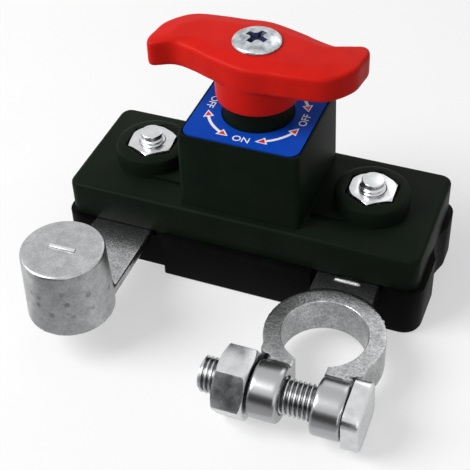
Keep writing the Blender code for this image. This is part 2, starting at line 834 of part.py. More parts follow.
def chamfered_hex(name, across_flats, height, finish, place):
    """A hexagon with its corners turned off at both ends, as a nut has. place moves it from Z = 0."""
    corner = across_flats / math.sqrt(3)
    drop = (corner - across_flats / 2) * 0.6
    block = prism(hexagon(across_flats), 0, height)
    turning = turned(
        [
            (0, 0),
            (across_flats * 0.485, 0),
            (corner + GAP, drop),
            (corner + GAP, height - drop),
            (across_flats * 0.485, height),
            (0, height),
        ],
        36,
        start=math.pi / 36,
    )
    block.transform(place)
    turning.transform(place)
    made = node(name, block, finish, 25)
    keep(made, "chamfer", turning)
    return made


def make_stud(name, x, finish):
    top = NUT_TOP + STUD_END
    head_foot = SEAT_TOP - STUD_HEAD_HEIGHT
    made = chamfered_hex(
        name, STUD_HEX, STUD_HEAD_HEIGHT, finish, Matrix.Translation((x, 0, head_foot))
    )
    shank = turned(
        [
            (0, SEAT_TOP - GAP),
            (STUD_RADIUS, SEAT_TOP - GAP),
            (STUD_RADIUS, top - 0.4 * STUD_RADIUS),
            (0.72 * STUD_RADIUS, top - 0.1 * STUD_RADIUS),
            (0, top),
        ],
        24,
        (x, 0),
    )
    fuse(made, "shank", shank)


def make_stud_nut(name, x, finish):
    made = chamfered_hex(name, STUD_HEX, STUD_NUT_HEIGHT, finish, Matrix.Translation((x, 0, NUT_FOOT)))
    cut(
        made,
        "thread_bore",
        cylinder(STUD_RADIUS + GAP, NUT_FOOT - PAST, NUT_TOP + PAST, 24, (x, 0)),
    )


def make_clamp_bolt(finish):
    head = prism(centred(BOLT_HEAD, BOLT_HEAD, BOLT_HEAD_CORNER, 4), BOLT_HEAD_X, BOLT_HEAD_X + BOLT_HEAD_HEIGHT)
    round_edges(head, BOLT_HEAD_X + BOLT_HEAD_HEIGHT, BOLT_HEAD_CORNER / 2)
    head.transform(Matrix.Rotation(math.radians(BOLT_HEAD_TURN), 4, "Z"))
    bolt = node("clamp_bolt", along_x(head, BARREL_Y, CLAMP_MIDDLE), finish)
    shank = cylinder(BOLT_RADIUS, CLAMP_NUT_X - BOLT_END, BOLT_HEAD_X + GAP, 32, edge=BOLT_RADIUS / 6)
    fuse(bolt, "shank", along_x(shank, BARREL_Y, CLAMP_MIDDLE))


def make_clamp_nut(finish):
    place = lying(BARREL_Y, CLAMP_MIDDLE) @ Matrix.Translation((0, 0, CLAMP_NUT_X))
    nut = chamfered_hex("clamp_nut", CLAMP_NUT_HEX, CLAMP_NUT_HEIGHT, finish, place)
    bore = cylinder(BOLT_RADIUS + GAP, CLAMP_NUT_X - PAST, CLAMP_NUT_X + CLAMP_NUT_HEIGHT + PAST, 32)
    cut(nut, "thread_bore", along_x(bore, BARREL_Y, CLAMP_MIDDLE))


def make_fixed_contact(name, side, finish):
    ends = sorted((side * CONTACT_END_X, side * (STUD_X + STUD_TUBE_RADIUS)))
    made = node(
        name,
        prism(
            rounded_rectangle((ends[0], -CONTACT_WIDTH / 2), (ends[1], CONTACT_WIDTH / 2), CONTACT_THICKNESS, 3),
            CONTACT_FOOT,
            CONTACT_TOP,
        ),
        finish,
    )
    cut(
        made,
        "stud_hole",
        cylinder(STUD_RADIUS + STUD_CLEARANCE, CONTACT_FOOT - PAST, CONTACT_TOP + PAST, 24, (side * STUD_X, 0)),
    )


def make_rotor(finish):
    groove_depth = SEAL_SECTION - GAP
    groove_middle = TOWER_TOP + COLLAR_HEIGHT / 2
    groove_half = SEAL_SECTION / 2 + GAP
    body = turned(
        [
            (0, STEM_FOOT),
            (STEM_RADIUS, STEM_FOOT),
            (STEM_RADIUS, FLANGE_FOOT),
            (FLANGE_RADIUS, FLANGE_FOOT),
            (FLANGE_RADIUS, FLANGE_TOP),
            (SHAFT_RADIUS, FLANGE_TOP),
            (SHAFT_RADIUS, groove_middle - groove_half),
            (SHAFT_RADIUS - groove_depth, groove_middle - groove_half),
            (SHAFT_RADIUS - groove_depth, groove_middle + groove_half),
            (SHAFT_RADIUS, groove_middle + groove_half),
            (SHAFT_RADIUS, SKIRT_FOOT),
            (0, SKIRT_FOOT),
        ],
        40,
    )
    rotor = node("rotor", body, finish)
    fuse(
        rotor,
        "drive_square",
        prism(centred(DRIVE_SQUARE, DRIVE_SQUARE, DRIVE_SQUARE / 12, 2), SKIRT_FOOT - SHAFT_RADIUS / 4, DRIVE_TOP),
    )
    cut(rotor, "spring_chamber", cylinder(CHAMBER_RADIUS, STEM_FOOT - PAST, CHAMBER_TOP, 32))
    cut(
        rotor,
        "bridge_slot",
        prism(
            rounded_rectangle(
                (-BRIDGE_WIDTH / 2 - GAP, -STEM_RADIUS - PAST), (BRIDGE_WIDTH / 2 + GAP, STEM_RADIUS + PAST), GAP, 1
            ),
            STEM_FOOT - PAST,
            BRIDGE_TOP + GAP,
        ),
    )
    cut(rotor, "screw_bore", cylinder(KNOB_SCREW_RADIUS + GAP, DRIVE_TOP - KNOB_SCREW_GRIP - GAP, DRIVE_TOP + PAST, 20))
    pockets = [
        cylinder(DETENT_BALL + GAP, POCKET_FOOT, FLANGE_TOP + PAST, 16, (i * DETENT_CIRCLE, 0)) for i in SIDES
    ]
    cut(rotor, "detent_pockets", *pockets)


def make_rotor_seal(finish):
    radius = SHAFT_RADIUS - SEAL_SECTION / 2 + GAP
    middle = TOWER_TOP + COLLAR_HEIGHT / 2
    node("rotor_seal", ring_tube(radius + GAP, SEAL_SECTION / 2 - GAP / 2, 36, 8, middle), finish)


def make_contact_bridge(finish):
    bridge = node(
        "contact_bridge",
        prism(
            rounded_rectangle(
                (-BRIDGE_WIDTH / 2, -BRIDGE_HALF_LENGTH), (BRIDGE_WIDTH / 2, BRIDGE_HALF_LENGTH), CONTACT_THICKNESS, 3
            ),
            BRIDGE_FOOT,
            BRIDGE_TOP,
        ),
        finish,
    )
    cut(bridge, "pivot_hole", cylinder(PIVOT_RADIUS + GAP, BRIDGE_FOOT - PAST, BRIDGE_TOP + PAST, 24))


def make_contact_spring(finish):
    radius = (PIVOT_RADIUS + CHAMBER_RADIUS) / 2
    node("contact_spring", coil(radius, SPRING_WIRE, BRIDGE_TOP + GAP, CHAMBER_TOP - GAP, 5, 14, 6), finish)


def make_detents(ball_finish, spring_finish):
    for i, side in zip(SIDES, ("left", "right")):
        place = (i * DETENT_CIRCLE, 0)
        angles = [math.radians(a) for a in range(-90, 91, 30)]
        profile = [(DETENT_BALL * math.cos(a), BALL_CENTRE + DETENT_BALL * math.sin(a)) for a in angles]
        node("detent_ball_" + side, turned(profile, 14, place), ball_finish)
        spring = coil(
            DETENT_BALL - DETENT_WIRE / 2 - GAP / 3,
            DETENT_WIRE,
            POCKET_FOOT + GAP,
            BALL_CENTRE - DETENT_BALL - GAP / 2,
            3,
            10,
            5,
            place,
        )
        node("detent_spring_" + side, spring, spring_finish)


def wing_outline():
    """Half of the wing's outline, and the same half turned about the axis."""
    w, r = WING_HALF_WIDTH, WING_REACH
    half = [
        (0, -w),
        (0.25 * r, -0.945 * w),
        (0.48 * r, -0.90 * w),
        (0.77 * r, -0.74 * w),
        (0.94 * r, -0.32 * w),
        (0.995 * r, 0.15 * w),
        (0.99 * r, 0.50 * w),
        (0.90 * r, 0.655 * w),
        (0.76 * r, 0.56 * w),
        (0.54 * r, 0.60 * w),
        (0.30 * r, 0.81 * w),
    ]
    return smooth_loop(half + [(-x, -y) for x, y in half], 3)


def wing_levels():
    """(inset, size about the axis, height) of each outline of the wing, from its foot to its crown."""
    foot_edge = WING_EDGE / 2
    shoulder = KNOB_TOP - CROWN
    levels = []
    for angle in (0, 45, 90):
        a = math.radians(angle)
        levels.append((foot_edge * (1 - math.sin(a)), 1, WING_FOOT + foot_edge * (1 - math.cos(a))))
    for angle in (0, 30, 60, 90):
        a = math.radians(angle)
        levels.append((WING_EDGE * (1 - math.cos(a)), 1, shoulder - WING_EDGE * (1 - math.sin(a))))
    levels.append((WING_EDGE, 0.8, KNOB_TOP - 0.45 * CROWN))
    levels.append((WING_EDGE, 0.5, KNOB_TOP))
    return levels


def make_knob(finish):
    outline = wing_outline()
    rings = []
    for inset, size, height in wing_levels():
        rings.append([(x * size, y * size, height) for x, y in inset_loop(outline, inset)])
    knob = node("knob", lofted(rings), finish)
    skirt = turned(
        [
            (0, SKIRT_FOOT),
            (SKIRT_RADIUS, SKIRT_FOOT),
            (SKIRT_RADIUS + 0.6 * SKIRT_FLARE, WING_FOOT),
            (SKIRT_RADIUS + SKIRT_FLARE, WING_FOOT + WING_THICKNESS / 4),
            (0, WING_FOOT + WING_THICKNESS / 4),
        ],
        40,
    )
    fuse(knob, "skirt", skirt)
    socket = DRIVE_SQUARE + 2 * GAP
    cut(
        knob,
        "drive_socket",
        prism(centred(socket, socket, DRIVE_SQUARE / 12, 2), SKIRT_FOOT - PAST, SOCKET_TOP),
    )
    cut(knob, "screw_hole", cylinder(KNOB_SCREW_RADIUS + GAP, SOCKET_TOP - PAST, KNOB_TOP + PAST, 20))


def make_knob_screw(finish):
    seat = KNOB_TOP + GAP
    top = seat + KNOB_SCREW_HEAD_HEIGHT
    r = KNOB_SCREW_HEAD
    body = turned(
        [
            (0, DRIVE_TOP - KNOB_SCREW_GRIP),
            (KNOB_SCREW_RADIUS * 0.6, DRIVE_TOP - KNOB_SCREW_GRIP),
            (KNOB_SCREW_RADIUS, DRIVE_TOP - KNOB_SCREW_GRIP + KNOB_SCREW_RADIUS / 2),
            (KNOB_SCREW_RADIUS, seat),
            (r, seat),
            (r, seat + 0.12 * KNOB_SCREW_HEAD_HEIGHT),
            (0.86 * r, seat + 0.42 * KNOB_SCREW_HEAD_HEIGHT),
            (0.6 * r, seat + 0.74 * KNOB_SCREW_HEAD_HEIGHT),
            (0.3 * r, seat + 0.94 * KNOB_SCREW_HEAD_HEIGHT),
            (0, top),
        ],
        36,
    )
    screw = node("knob_screw", body, finish)
    for name, length, width in (("slot_a", CROSS_LENGTH, CROSS_WIDTH), ("slot_b", CROSS_WIDTH, CROSS_LENGTH)):
        cut(screw, name, prism(centred(length, width, CROSS_WIDTH / 4, 1), top - CROSS_DEPTH, top + PAST))


def make_cover_screws(finish):
    names = ("left_front", "left_rear", "right_front", "right_rear")
    for name, place in zip(names, screw_places()):
        head_top = SCREW_SINK + SCREW_HEAD_HEIGHT
        tip = COVER_TOP - SCREW_ROOM - GAP
        profile = [
            (0, SCREW_SINK),
            (0.7 * SCREW_HEAD_RADIUS, SCREW_SINK),
            (SCREW_HEAD_RADIUS, SCREW_SINK + SCREW_HEAD_HEIGHT / 2),
            (SCREW_HEAD_RADIUS, head_top),
            (SCREW_RADIUS, head_top),
            (SCREW_RADIUS, tip - 1.5 * SCREW_RADIUS),
            (0, tip),
        ]
        screw = node("cover_screw_" + name, turned(profile, 16, place), finish)
        slot = SCREW_HEAD_RADIUS * 0.55
        for part, length, width in (("slot_a", slot, slot / 4), ("slot_b", slot / 4, slot)):
            outline = [(place[0] + x * length, place[1] + y * width) for x, y in ((-1, -1), (1, -1), (1, 1), (-1, 1))]
            cut(screw, part, prism(outline, SCREW_SINK - PAST, SCREW_SINK + SCREW_HEAD_HEIGHT / 2))


def main():
    clear_scene()
    housing = material("black_moulded_plastic", (0.013, 0.015, 0.013), 0.42)
    rotor_nylon = material("black_nylon", (0.012, 0.012, 0.013), 0.5)
    label = material("blue_label", (0.008, 0.085, 0.56), 0.35)
    red = material("red_moulded_plastic", (0.68, 0.022, 0.014), 0.38)
    casting = material("cast_zinc", (0.50, 0.50, 0.49), 0.45, 0.9)
    plated = material("zinc_plated_steel", (0.66, 0.66, 0.65), 0.25, 1.0)
    copper = material("copper", (0.72, 0.28, 0.14), 0.3, 1.0)
    spring = material("spring_steel", (0.45, 0.45, 0.46), 0.3, 1.0)
    rubber = material("black_rubber", (0.01, 0.01, 0.01), 0.8)

    make_lower_base(housing)
    make_upper_cover(housing)
    make_dial_label(label)
    make_terminal_post(casting)
    make_terminal_clamp(casting)
    for side, name in zip(SIDES, ("left", "right")):
        make_fixed_contact("fixed_contact_" + name, side, copper)
        make_stud("stud_bolt_" + name, side * STUD_X, plated)
        make_stud_nut("stud_nut_" + name, side * STUD_X, plated)
    make_clamp_bolt(plated)
    make_clamp_nut(plated)
    make_cover_screws(plated)
    make_rotor(rotor_nylon)
    make_rotor_seal(rubber)
    make_contact_bridge(copper)
    make_contact_spring(spring)
    make_detents(plated, spring)
    make_knob(red)
    make_knob_screw(plated)


main()
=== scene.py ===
"""Battery terminal disconnect switch: the looks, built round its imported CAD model.

The scene is in metres, +Z up. Pieces are sized and placed in millimetres, which MM turns to metres.
"""

import json
import math

import bpy
from mathutils import Matrix, Vector

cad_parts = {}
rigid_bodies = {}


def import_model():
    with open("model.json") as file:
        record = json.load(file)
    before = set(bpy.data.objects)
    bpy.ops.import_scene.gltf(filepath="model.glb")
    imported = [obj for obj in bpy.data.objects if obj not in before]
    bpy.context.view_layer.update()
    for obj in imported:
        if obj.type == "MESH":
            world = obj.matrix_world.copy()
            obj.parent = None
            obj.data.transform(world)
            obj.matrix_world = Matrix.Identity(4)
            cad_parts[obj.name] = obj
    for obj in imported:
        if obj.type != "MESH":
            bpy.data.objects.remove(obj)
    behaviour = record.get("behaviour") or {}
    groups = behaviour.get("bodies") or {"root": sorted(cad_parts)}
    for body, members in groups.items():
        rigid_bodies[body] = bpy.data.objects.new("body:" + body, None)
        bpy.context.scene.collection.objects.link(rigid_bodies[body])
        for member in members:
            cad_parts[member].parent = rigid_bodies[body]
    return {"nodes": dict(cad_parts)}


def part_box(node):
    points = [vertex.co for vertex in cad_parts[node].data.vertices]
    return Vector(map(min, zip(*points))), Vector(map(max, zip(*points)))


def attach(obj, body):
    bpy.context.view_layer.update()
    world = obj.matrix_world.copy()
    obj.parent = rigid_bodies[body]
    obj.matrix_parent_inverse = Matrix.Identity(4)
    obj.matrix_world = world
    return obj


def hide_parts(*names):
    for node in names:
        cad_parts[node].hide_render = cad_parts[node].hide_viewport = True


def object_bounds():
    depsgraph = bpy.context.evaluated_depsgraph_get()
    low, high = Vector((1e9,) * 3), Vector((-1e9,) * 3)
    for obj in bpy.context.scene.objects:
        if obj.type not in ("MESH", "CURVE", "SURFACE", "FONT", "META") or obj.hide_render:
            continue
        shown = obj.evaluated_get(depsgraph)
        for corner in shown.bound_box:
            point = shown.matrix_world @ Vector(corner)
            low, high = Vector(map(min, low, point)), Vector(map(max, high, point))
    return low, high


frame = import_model()
cad_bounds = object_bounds()

MM = 0.001
SCENE = bpy.context.scene
NEAR = 0.01  # how far off its level an edge may lie and still be picked
WELD = 0.001  # points closer than this become one
NOISE_LOW, NOISE_HIGH = 0.3, 0.7  # the range where noise mostly lies


def span(node):
    """A CAD node's lowest and highest corner in millimetres."""
    low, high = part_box(node)
    return low / MM, high / MM


def centre_of(node):
    low, high = span(node)
    return (low + high) / 2


# Places and sizes that several pieces and finishes share
STUD_AXES = {side: centre_of("stud_bolt_" + side).xy for side in ("left", "right")}
STUD_RADIUS = 2.9  # crest of its M6 thread
STUD_FLATS = 10.0  # across its head and its nut
STUD_HOLE = 3.3  # radius of the hole in each bar
POST_AXIS = (-28.7, -40.8)
POST_TOP = 26.05
CLAMP_AXIS = (26.45, -33.1)
CLAMP_BOLT = centre_of("clamp_nut").yz
BARREL_RADIUS = 6.1
BOLT_RADIUS = 3.9  # crest of its M8 thread
BOLT_HEAD = 3.7  # the head's height
THREAD_PLAY = 0.05  # between a thread and its nut's bore
BAR_TOP = 11.85


# Colour and material tools
def srgb(text):
    """Linear red, green, blue and alpha of an sRGB hex value."""
    values = [int(text[i : i + 2], 16) / 255 for i in (0, 2, 4)]
    linear = [v / 12.92 if v <= 0.04045 else ((v + 0.055) / 1.055) ** 2.4 for v in values]
    return (*linear, 1.0)


def per_mm(size):
    """The scale of a pattern whose lumps are about this many millimetres across."""
    return 1.0 / (size * MM)


def between(dark, light):
    """A ramp's stops for noise that runs from one colour to the other."""
    return (NOISE_LOW, dark), (NOISE_HIGH, light)


def feed(tree, socket, value):
    """Links an output to the socket, or sets the socket to a number, a vector or an sRGB hex colour."""
    if isinstance(value, bpy.types.NodeSocket):
        tree.links.new(value, socket)
    else:
        socket.default_value = srgb(value) if isinstance(value, str) else value


def add_node(tree, kind, output, inputs=None, stops=(), **settings):
    """Adds a node with its settings, feeds its inputs, and returns the output asked for.

    The stops are a colour ramp's, each a position and an sRGB hex colour.
    """
    node = tree.nodes.new("ShaderNode" + kind)
    for key, value in settings.items():
        setattr(node, key, value)
    for key, value in (inputs or {}).items():
        feed(tree, node.inputs[key], value)
    if len(stops) > 2:
        node.color_ramp.elements.new(0.5)
    for i, (position, colour) in enumerate(stops):
        node.color_ramp.elements[i].position = position
        node.color_ramp.elements[i].color = srgb(colour)
    return node.outputs[output]


def new_material(name, specular=0.5, metallic=0.0):
    """A material with its node tree, its shader and the object coordinates that its patterns read."""
    made = bpy.data.materials.new(name)
    made.use_nodes = True
    tree = made.node_tree
    shader = tree.nodes["Principled BSDF"]
    shader.inputs["Specular IOR Level"].default_value = specular
    shader.inputs["Metallic"].default_value = metallic
    return made, tree, shader, add_node(tree, "TexCoord", "Object")


def join(tree, shader, **sockets):
    """Feeds the shader's inputs; underscores in a name stand for spaces."""
    for name, value in sockets.items():
        feed(tree, shader.inputs[name.replace("_", " ")], value)


def dress(tree, shader, colour, grain, rough, relief_mm=0.0, strength=0.6):
    """Gives the shader its colour, and a roughness and relief that follow a grain."""
    limits = {"From Min": NOISE_LOW, "From Max": NOISE_HIGH, "To Min": rough[0], "To Max": rough[1]}
    roughness = add_node(tree, "MapRange", "Result", {"Value": grain, **limits})
    join(tree, shader, Base_Color=colour, Roughness=roughness)
    if relief_mm:
        relief = {"Height": grain, "Distance": relief_mm * MM, "Strength": strength}
        join(tree, shader, Normal=add_node(tree, "Bump", "Normal", relief))


def within(tree, place, centre, weights, near, far):
    """1 nearer to a centre than near, and 0 past far, in millimetres, each axis stretched by its weight."""
    shift = [-c * weight * MM for c, weight in zip(centre, weights)]
    offset = add_node(tree, "Mapping", "Vector", {"Vector": place, "Location": shift, "Scale": weights})
    reach = add_node(tree, "VectorMath", "Value", {0: offset}, operation="LENGTH")
    limits = {"From Min": near * MM, "From Max": far * MM, "To Min": 1.0, "To Max": 0.0}
    return add_node(tree, "MapRange", "Result", {"Value": reach, **limits})


# Materials
def moulded_phenolic():
    """Black phenolic, compression moulded in a spark-eroded mould: greenish black and semi-matt.

    The real grain is about 0.05 mm. It is drawn 0.22 mm across, so that it shows.
    """
    made, tree, shader, place = new_material("phenolic_moulded_black", specular=0.035)
    cloud = add_node(tree, "TexNoise", "Fac", {"Vector": place, "Scale": per_mm(9.0), "Detail": 3.0})
    grain = add_node(tree, "TexNoise", "Fac", {"Vector": place, "Scale": per_mm(0.22), "Roughness": 0.6})
    colour = add_node(tree, "ValToRGB", "Color", {"Fac": cloud}, between("0E150F", "131A12"))
    dress(tree, shader, colour, grain, (0.4, 0.52), 0.014)
    return made


def moulded_base():
    """The same resin with more filler: flatter and neutral black. Its grain, too, is drawn coarser."""
    made, tree, shader, place = new_material("phenolic_moulded_base_black", specular=0.03)
    cloud = add_node(tree, "TexNoise", "Fac", {"Vector": place, "Scale": per_mm(7.0), "Detail": 3.0})
    grain = add_node(tree, "TexNoise", "Fac", {"Vector": place, "Scale": per_mm(0.3), "Roughness": 0.6})
    colour = add_node(tree, "ValToRGB", "Color", {"Fac": cloud}, between("060607", "0B0B0C"))
    dress(tree, shader, colour, grain, (0.42, 0.56), 0.016)
    return made


def moulded_red():
    """Red glass-filled nylon, injection moulded: a matt skin with a soft sheen and faint flow clouds.

    Its grain is drawn 0.25 mm across, coarser than the real one, so that it shows.
    """
    made, tree, shader, place = new_material("nylon_moulded_red", specular=0.1)
    cloud = add_node(tree, "TexNoise", "Fac", {"Vector": place, "Scale": per_mm(8.0), "Detail": 3.0})
    grain = add_node(tree, "TexNoise", "Fac", {"Vector": place, "Scale": per_mm(0.25), "Roughness": 0.6})
    colour = add_node(tree, "ValToRGB", "Color", {"Fac": cloud}, between("C8160E", "D61D12"))
    dress(tree, shader, colour, grain, (0.42, 0.54), 0.014)
    return made


def printed_blue():
    """Blue ink on the back of a clear polyester label: even colour under a slightly wavy gloss film."""
    made, tree, shader, place = new_material("polyester_label_blue", specular=0.04)
    cloud = add_node(tree, "TexNoise", "Fac", {"Vector": place, "Scale": per_mm(12.0)})
    speck = add_node(tree, "TexNoise", "Fac", {"Vector": place, "Scale": per_mm(0.3)})
    colour = add_node(tree, "ValToRGB", "Color", {"Fac": cloud}, between("0A3EA8", "1049B8"))
    dress(tree, shader, colour, speck, (0.3, 0.4))
    wave = add_node(tree, "Bump", "Normal", {"Height": cloud, "Distance": 0.05 * MM, "Strength": 0.3})
    join(tree, shader, Normal=wave)
    return made


def printed_ink(name, dark, light):
    """Screen-printed ink: flat and dense, with faint mottling, drawn 0.4 mm across so that it shows."""
    made, tree, shader, place = new_material(name, specular=0.25)
    speck = add_node(tree, "TexNoise", "Fac", {"Vector": place, "Scale": per_mm(0.4)})
    colour = add_node(tree, "ValToRGB", "Color", {"Fac": speck}, between(dark, light))
    dress(tree, shader, colour, speck, (0.3, 0.42))
    return made


def cast_zinc():
    """Zinc alloy, sand cast and tin dipped: satin grey, with clouds and a sandy grain, fainter on the post.

    Stains 1 to 1.5 mm across lie round the post, where the dip ran thin. The clamp's bolt barrels are
    turned, so they are smoother, and the raised sign on the post's top has a painted highlight: a lighter
    colour.
    """
    made, tree, shader, place = new_material("zinc_alloy_sand_cast", metallic=1.0)
    cloud = add_node(
        tree, "TexNoise", "Fac", {"Vector": place, "Scale": per_mm(2.5), "Detail": 4.0, "Roughness": 0.55}
    )
    grain = add_node(
        tree, "TexNoise", "Fac", {"Vector": place, "Scale": per_mm(0.45), "Detail": 3.0, "Roughness": 0.6}
    )

    # Where things are: 1 there and 0 elsewhere
    halfway_up = (*POST_AXIS, 17.5)
    sign_top = (0, 0, span("terminal_post")[1].z)
    bolt, reach = (0, *CLAMP_BOLT), BARREL_RADIUS + 0.05
    round_post = within(tree, place, halfway_up, (1, 1, 1.25), near=8.8, far=11.6)
    on_post = within(tree, place, (*POST_AXIS, 0), (1, 1, 0), near=9.9, far=10.4)
    on_sign = within(tree, place, sign_top, (0, 0, 1), near=0.26, far=0.36)
    round_bolt = within(tree, place, bolt, (0, 1, 1), near=reach, far=reach + 0.45)
    on_clamp = within(tree, place, (CLAMP_AXIS[0], 0, 0), (1, 0, 0), near=14.0, far=16.0)
    on_barrels = add_node(tree, "Math", "Value", {0: round_bolt, 1: on_clamp}, operation="MULTIPLY")

    # Clouds, then the sandy grain over them
    body = add_node(tree, "ValToRGB", "Color", {"Fac": cloud}, ((0.32, "A6A7A8"), (0.68, "BFC0C1")))
    pits = add_node(tree, "ValToRGB", "Color", {"Fac": grain}, ((0.38, "B8B8B8"), (0.58, "000000")))
    fainter = add_node(tree, "MapRange", "Result", {"Value": on_post, "To Min": 1.0, "To Max": 0.5})
    sand = add_node(tree, "Math", "Value", {0: pits, 1: fainter}, operation="MULTIPLY")
    sandy = add_node(tree, "Mix", 2, {"Factor": sand, 6: body, 7: "5E5F60"}, data_type="RGBA")

    # Stains: round cells, in patches, only round the post
    cells = add_node(tree, "TexVoronoi", "Distance", {"Vector": place, "Scale": per_mm(2.6)})
    spots = add_node(tree, "ValToRGB", "Color", {"Fac": cells}, ((0.18, "D0D0D0"), (0.34, "000000")))
    drift = add_node(tree, "TexNoise", "Fac", {"Vector": place, "Scale": per_mm(5.0), "Detail": 1.0})
    patches = add_node(tree, "ValToRGB", "Color", {"Fac": drift}, ((0.34, "000000"), (0.44, "FFFFFF")))
    clusters = add_node(tree, "Math", "Value", {0: spots, 1: patches}, operation="MULTIPLY")
    stains = add_node(tree, "Math", "Value", {0: clusters, 1: round_post}, operation="MULTIPLY")
    stained = add_node(tree, "Mix", 2, {"Factor": stains, 6: sandy, 7: "454647"}, data_type="RGBA")

    turned = add_node(tree, "Mix", 2, {"Factor": on_barrels, 6: stained, 7: "A9AAAB"}, data_type="RGBA")
    # Painted highlight: the raised sign on the post's top is coloured lighter.
    painted_sign_highlight = add_node(tree, "Mix", 2, {"Factor": on_sign, 6: turned, 7: "D2D3D4"}, data_type="RGBA")
    satin = add_node(tree, "MapRange", "Result", {"Value": on_post, "To Min": 0.26, "To Max": 0.34})
    depth = add_node(tree, "MapRange", "Result", {"Value": on_barrels, "To Min": 0.7, "To Max": 0.06})
    relief = add_node(tree, "Bump", "Normal", {"Height": grain, "Distance": 0.06 * MM, "Strength": depth})
    join(tree, shader, Base_Color=painted_sign_highlight, Roughness=satin, Normal=relief)
    return made


def plated_steel():
    """Steel, cold headed and bright zinc plated: a satin shine, with die marks and duller patches.

    The roots of the clamp bolt's thread are coloured darker: painted shade.
    """
    made, tree, shader, place = new_material("steel_zinc_plated_bright", metallic=1.0)
    patches = add_node(tree, "TexNoise", "Fac", {"Vector": place, "Scale": per_mm(2.5), "Detail": 3.0})
    marks = add_node(tree, "TexNoise", "Fac", {"Vector": place, "Scale": per_mm(1.2)})
    plating = add_node(tree, "ValToRGB", "Color", {"Fac": patches}, between("C4C6C8", "D6D7D8"))

    low, high = span("clamp_bolt")
    shank_end = high.x - BOLT_HEAD - 0.1
    middle, half = (low.x + shank_end) / 2, (shank_end - low.x) / 2
    bolt, root = (0, *CLAMP_BOLT), BOLT_RADIUS - 0.44
    roots = within(tree, place, bolt, (0, 1, 1), near=root, far=root + 0.2)
    shank = within(tree, place, (middle, 0, 0), (1, 0, 0), near=half - 0.6, far=half - 0.4)
    # Painted shade: the thread's roots are coloured dark grey.
    root_shade = add_node(tree, "Math", "Value", {0: roots, 1: shank}, operation="MULTIPLY")
    colour = add_node(tree, "Mix", 2, {"Factor": root_shade, 6: plating, 7: "6A6B6C"}, data_type="RGBA")

    dress(tree, shader, colour, patches, (0.22, 0.31))
    relief = add_node(tree, "Bump", "Normal", {"Height": marks, "Distance": 0.01 * MM, "Strength": 0.4})
    join(tree, shader, Normal=relief)
    return made


def chromated_steel():
    """Steel, cold headed, zinc plated and clear chromated: cool grey, with small cloudy patches."""
    made, tree, shader, place = new_material("steel_zinc_chromated_clear", metallic=1.0)
    cloud = add_node(tree, "TexNoise", "Fac", {"Vector": place, "Scale": per_mm(1.5), "Detail": 3.0})
    marks = add_node(tree, "TexNoise", "Fac", {"Vector": place, "Scale": per_mm(1.0)})
    stops = ((0.32, "8E959A"), (0.52, "B9BEC2"), (0.68, "D0D3D6"))
    colour = add_node(tree, "ValToRGB", "Color", {"Fac": cloud}, stops)
    dress(tree, shader, colour, cloud, (0.34, 0.2))
    relief = add_node(tree, "Bump", "Normal", {"Height": marks, "Distance": 0.03 * MM, "Strength": 0.5})
    join(tree, shader, Normal=relief)
    return made


def recess_painted_shade():
    """Steel in a driver recess, coloured dark navy: painted shade of the deep recess, with a painted blue
    reflection.
    """
    made, tree, shader, place = new_material("steel_recess_painted_shade", specular=0.3)
    cloud = add_node(tree, "TexNoise", "Fac", {"Vector": place, "Scale": per_mm(0.8)})
    colour = add_node(tree, "ValToRGB", "Color", {"Fac": cloud}, between("080C2C", "101744"))
    dress(tree, shader, colour, cloud, (0.35, 0.5))
    return made


def strip_copper():
    """Copper, rolled strip: streaks of tarnish along the rolling direction."""
    made, tree, shader, place = new_material("copper_rolled_strip", metallic=1.0)
    streak = add_node(tree, "Mapping", "Vector", {"Vector": place, "Scale": (0.2, 4.0, 1.0)})
    line = add_node(tree, "TexNoise", "Fac", {"Vector": streak, "Scale": per_mm(1.0), "Detail": 3.0})
    colour = add_node(tree, "ValToRGB", "Color", {"Fac": line}, between("B46A48", "D08A62"))
    dress(tree, shader, colour, line, (0.22, 0.38))
    return made


def drawn_wire():
    """Spring steel, drawn wire: dark oiled grey."""
    made, tree, shader, place = new_material("spring_steel_drawn_wire", metallic=1.0)
    speck = add_node(tree, "TexNoise", "Fac", {"Vector": place, "Scale": per_mm(0.5)})
    colour = add_node(tree, "ValToRGB", "Color", {"Fac": speck}, between("6F7174", "909296"))
    dress(tree, shader, colour, speck, (0.25, 0.4))
    return made


def moulded_nylon():
    """Black nylon, injection moulded: evenly matt, with a grain drawn coarse enough to show."""
    made, tree, shader, place = new_material("nylon_moulded_black")
    grain = add_node(tree, "TexNoise", "Fac", {"Vector": place, "Scale": per_mm(0.3)})
    colour = add_node(tree, "ValToRGB", "Color", {"Fac": grain}, between("151516", "1D1D1F"))
    dress(tree, shader, colour, grain, (0.45, 0.6), 0.01, 0.5)
    return made


def nitrile_rubber():
    """Nitrile rubber, moulded ring: dull black with a dusty bloom."""
    made, tree, shader, place = new_material("nitrile_rubber_moulded")
    bloom = add_node(tree, "TexNoise", "Fac", {"Vector": place, "Scale": per_mm(1.0), "Detail": 3.0})
    colour = add_node(tree, "ValToRGB", "Color", {"Fac": bloom}, between("121212", "1C1C1C"))
    dress(tree, shader, colour, bloom, (0.7, 0.85))
    return made


PHENOLIC = moulded_phenolic()
BASE_BLACK = moulded_base()
RED = moulded_red()
BLUE = printed_blue()
WHITE_INK = printed_ink("ink_screen_printed_white", "E6E9F2", "F4F6FA")
RED_INK = printed_ink("ink_screen_printed_red", "D0202C", "DC2E38")
ZINC = cast_zinc()
STEEL = plated_steel()
COPPER = strip_copper()
WIRE = drawn_wire()
SCREW_STEEL = chromated_steel()
RECESS_SHADE = recess_painted_shade()
NYLON = moulded_nylon()
RUBBER = nitrile_rubber()

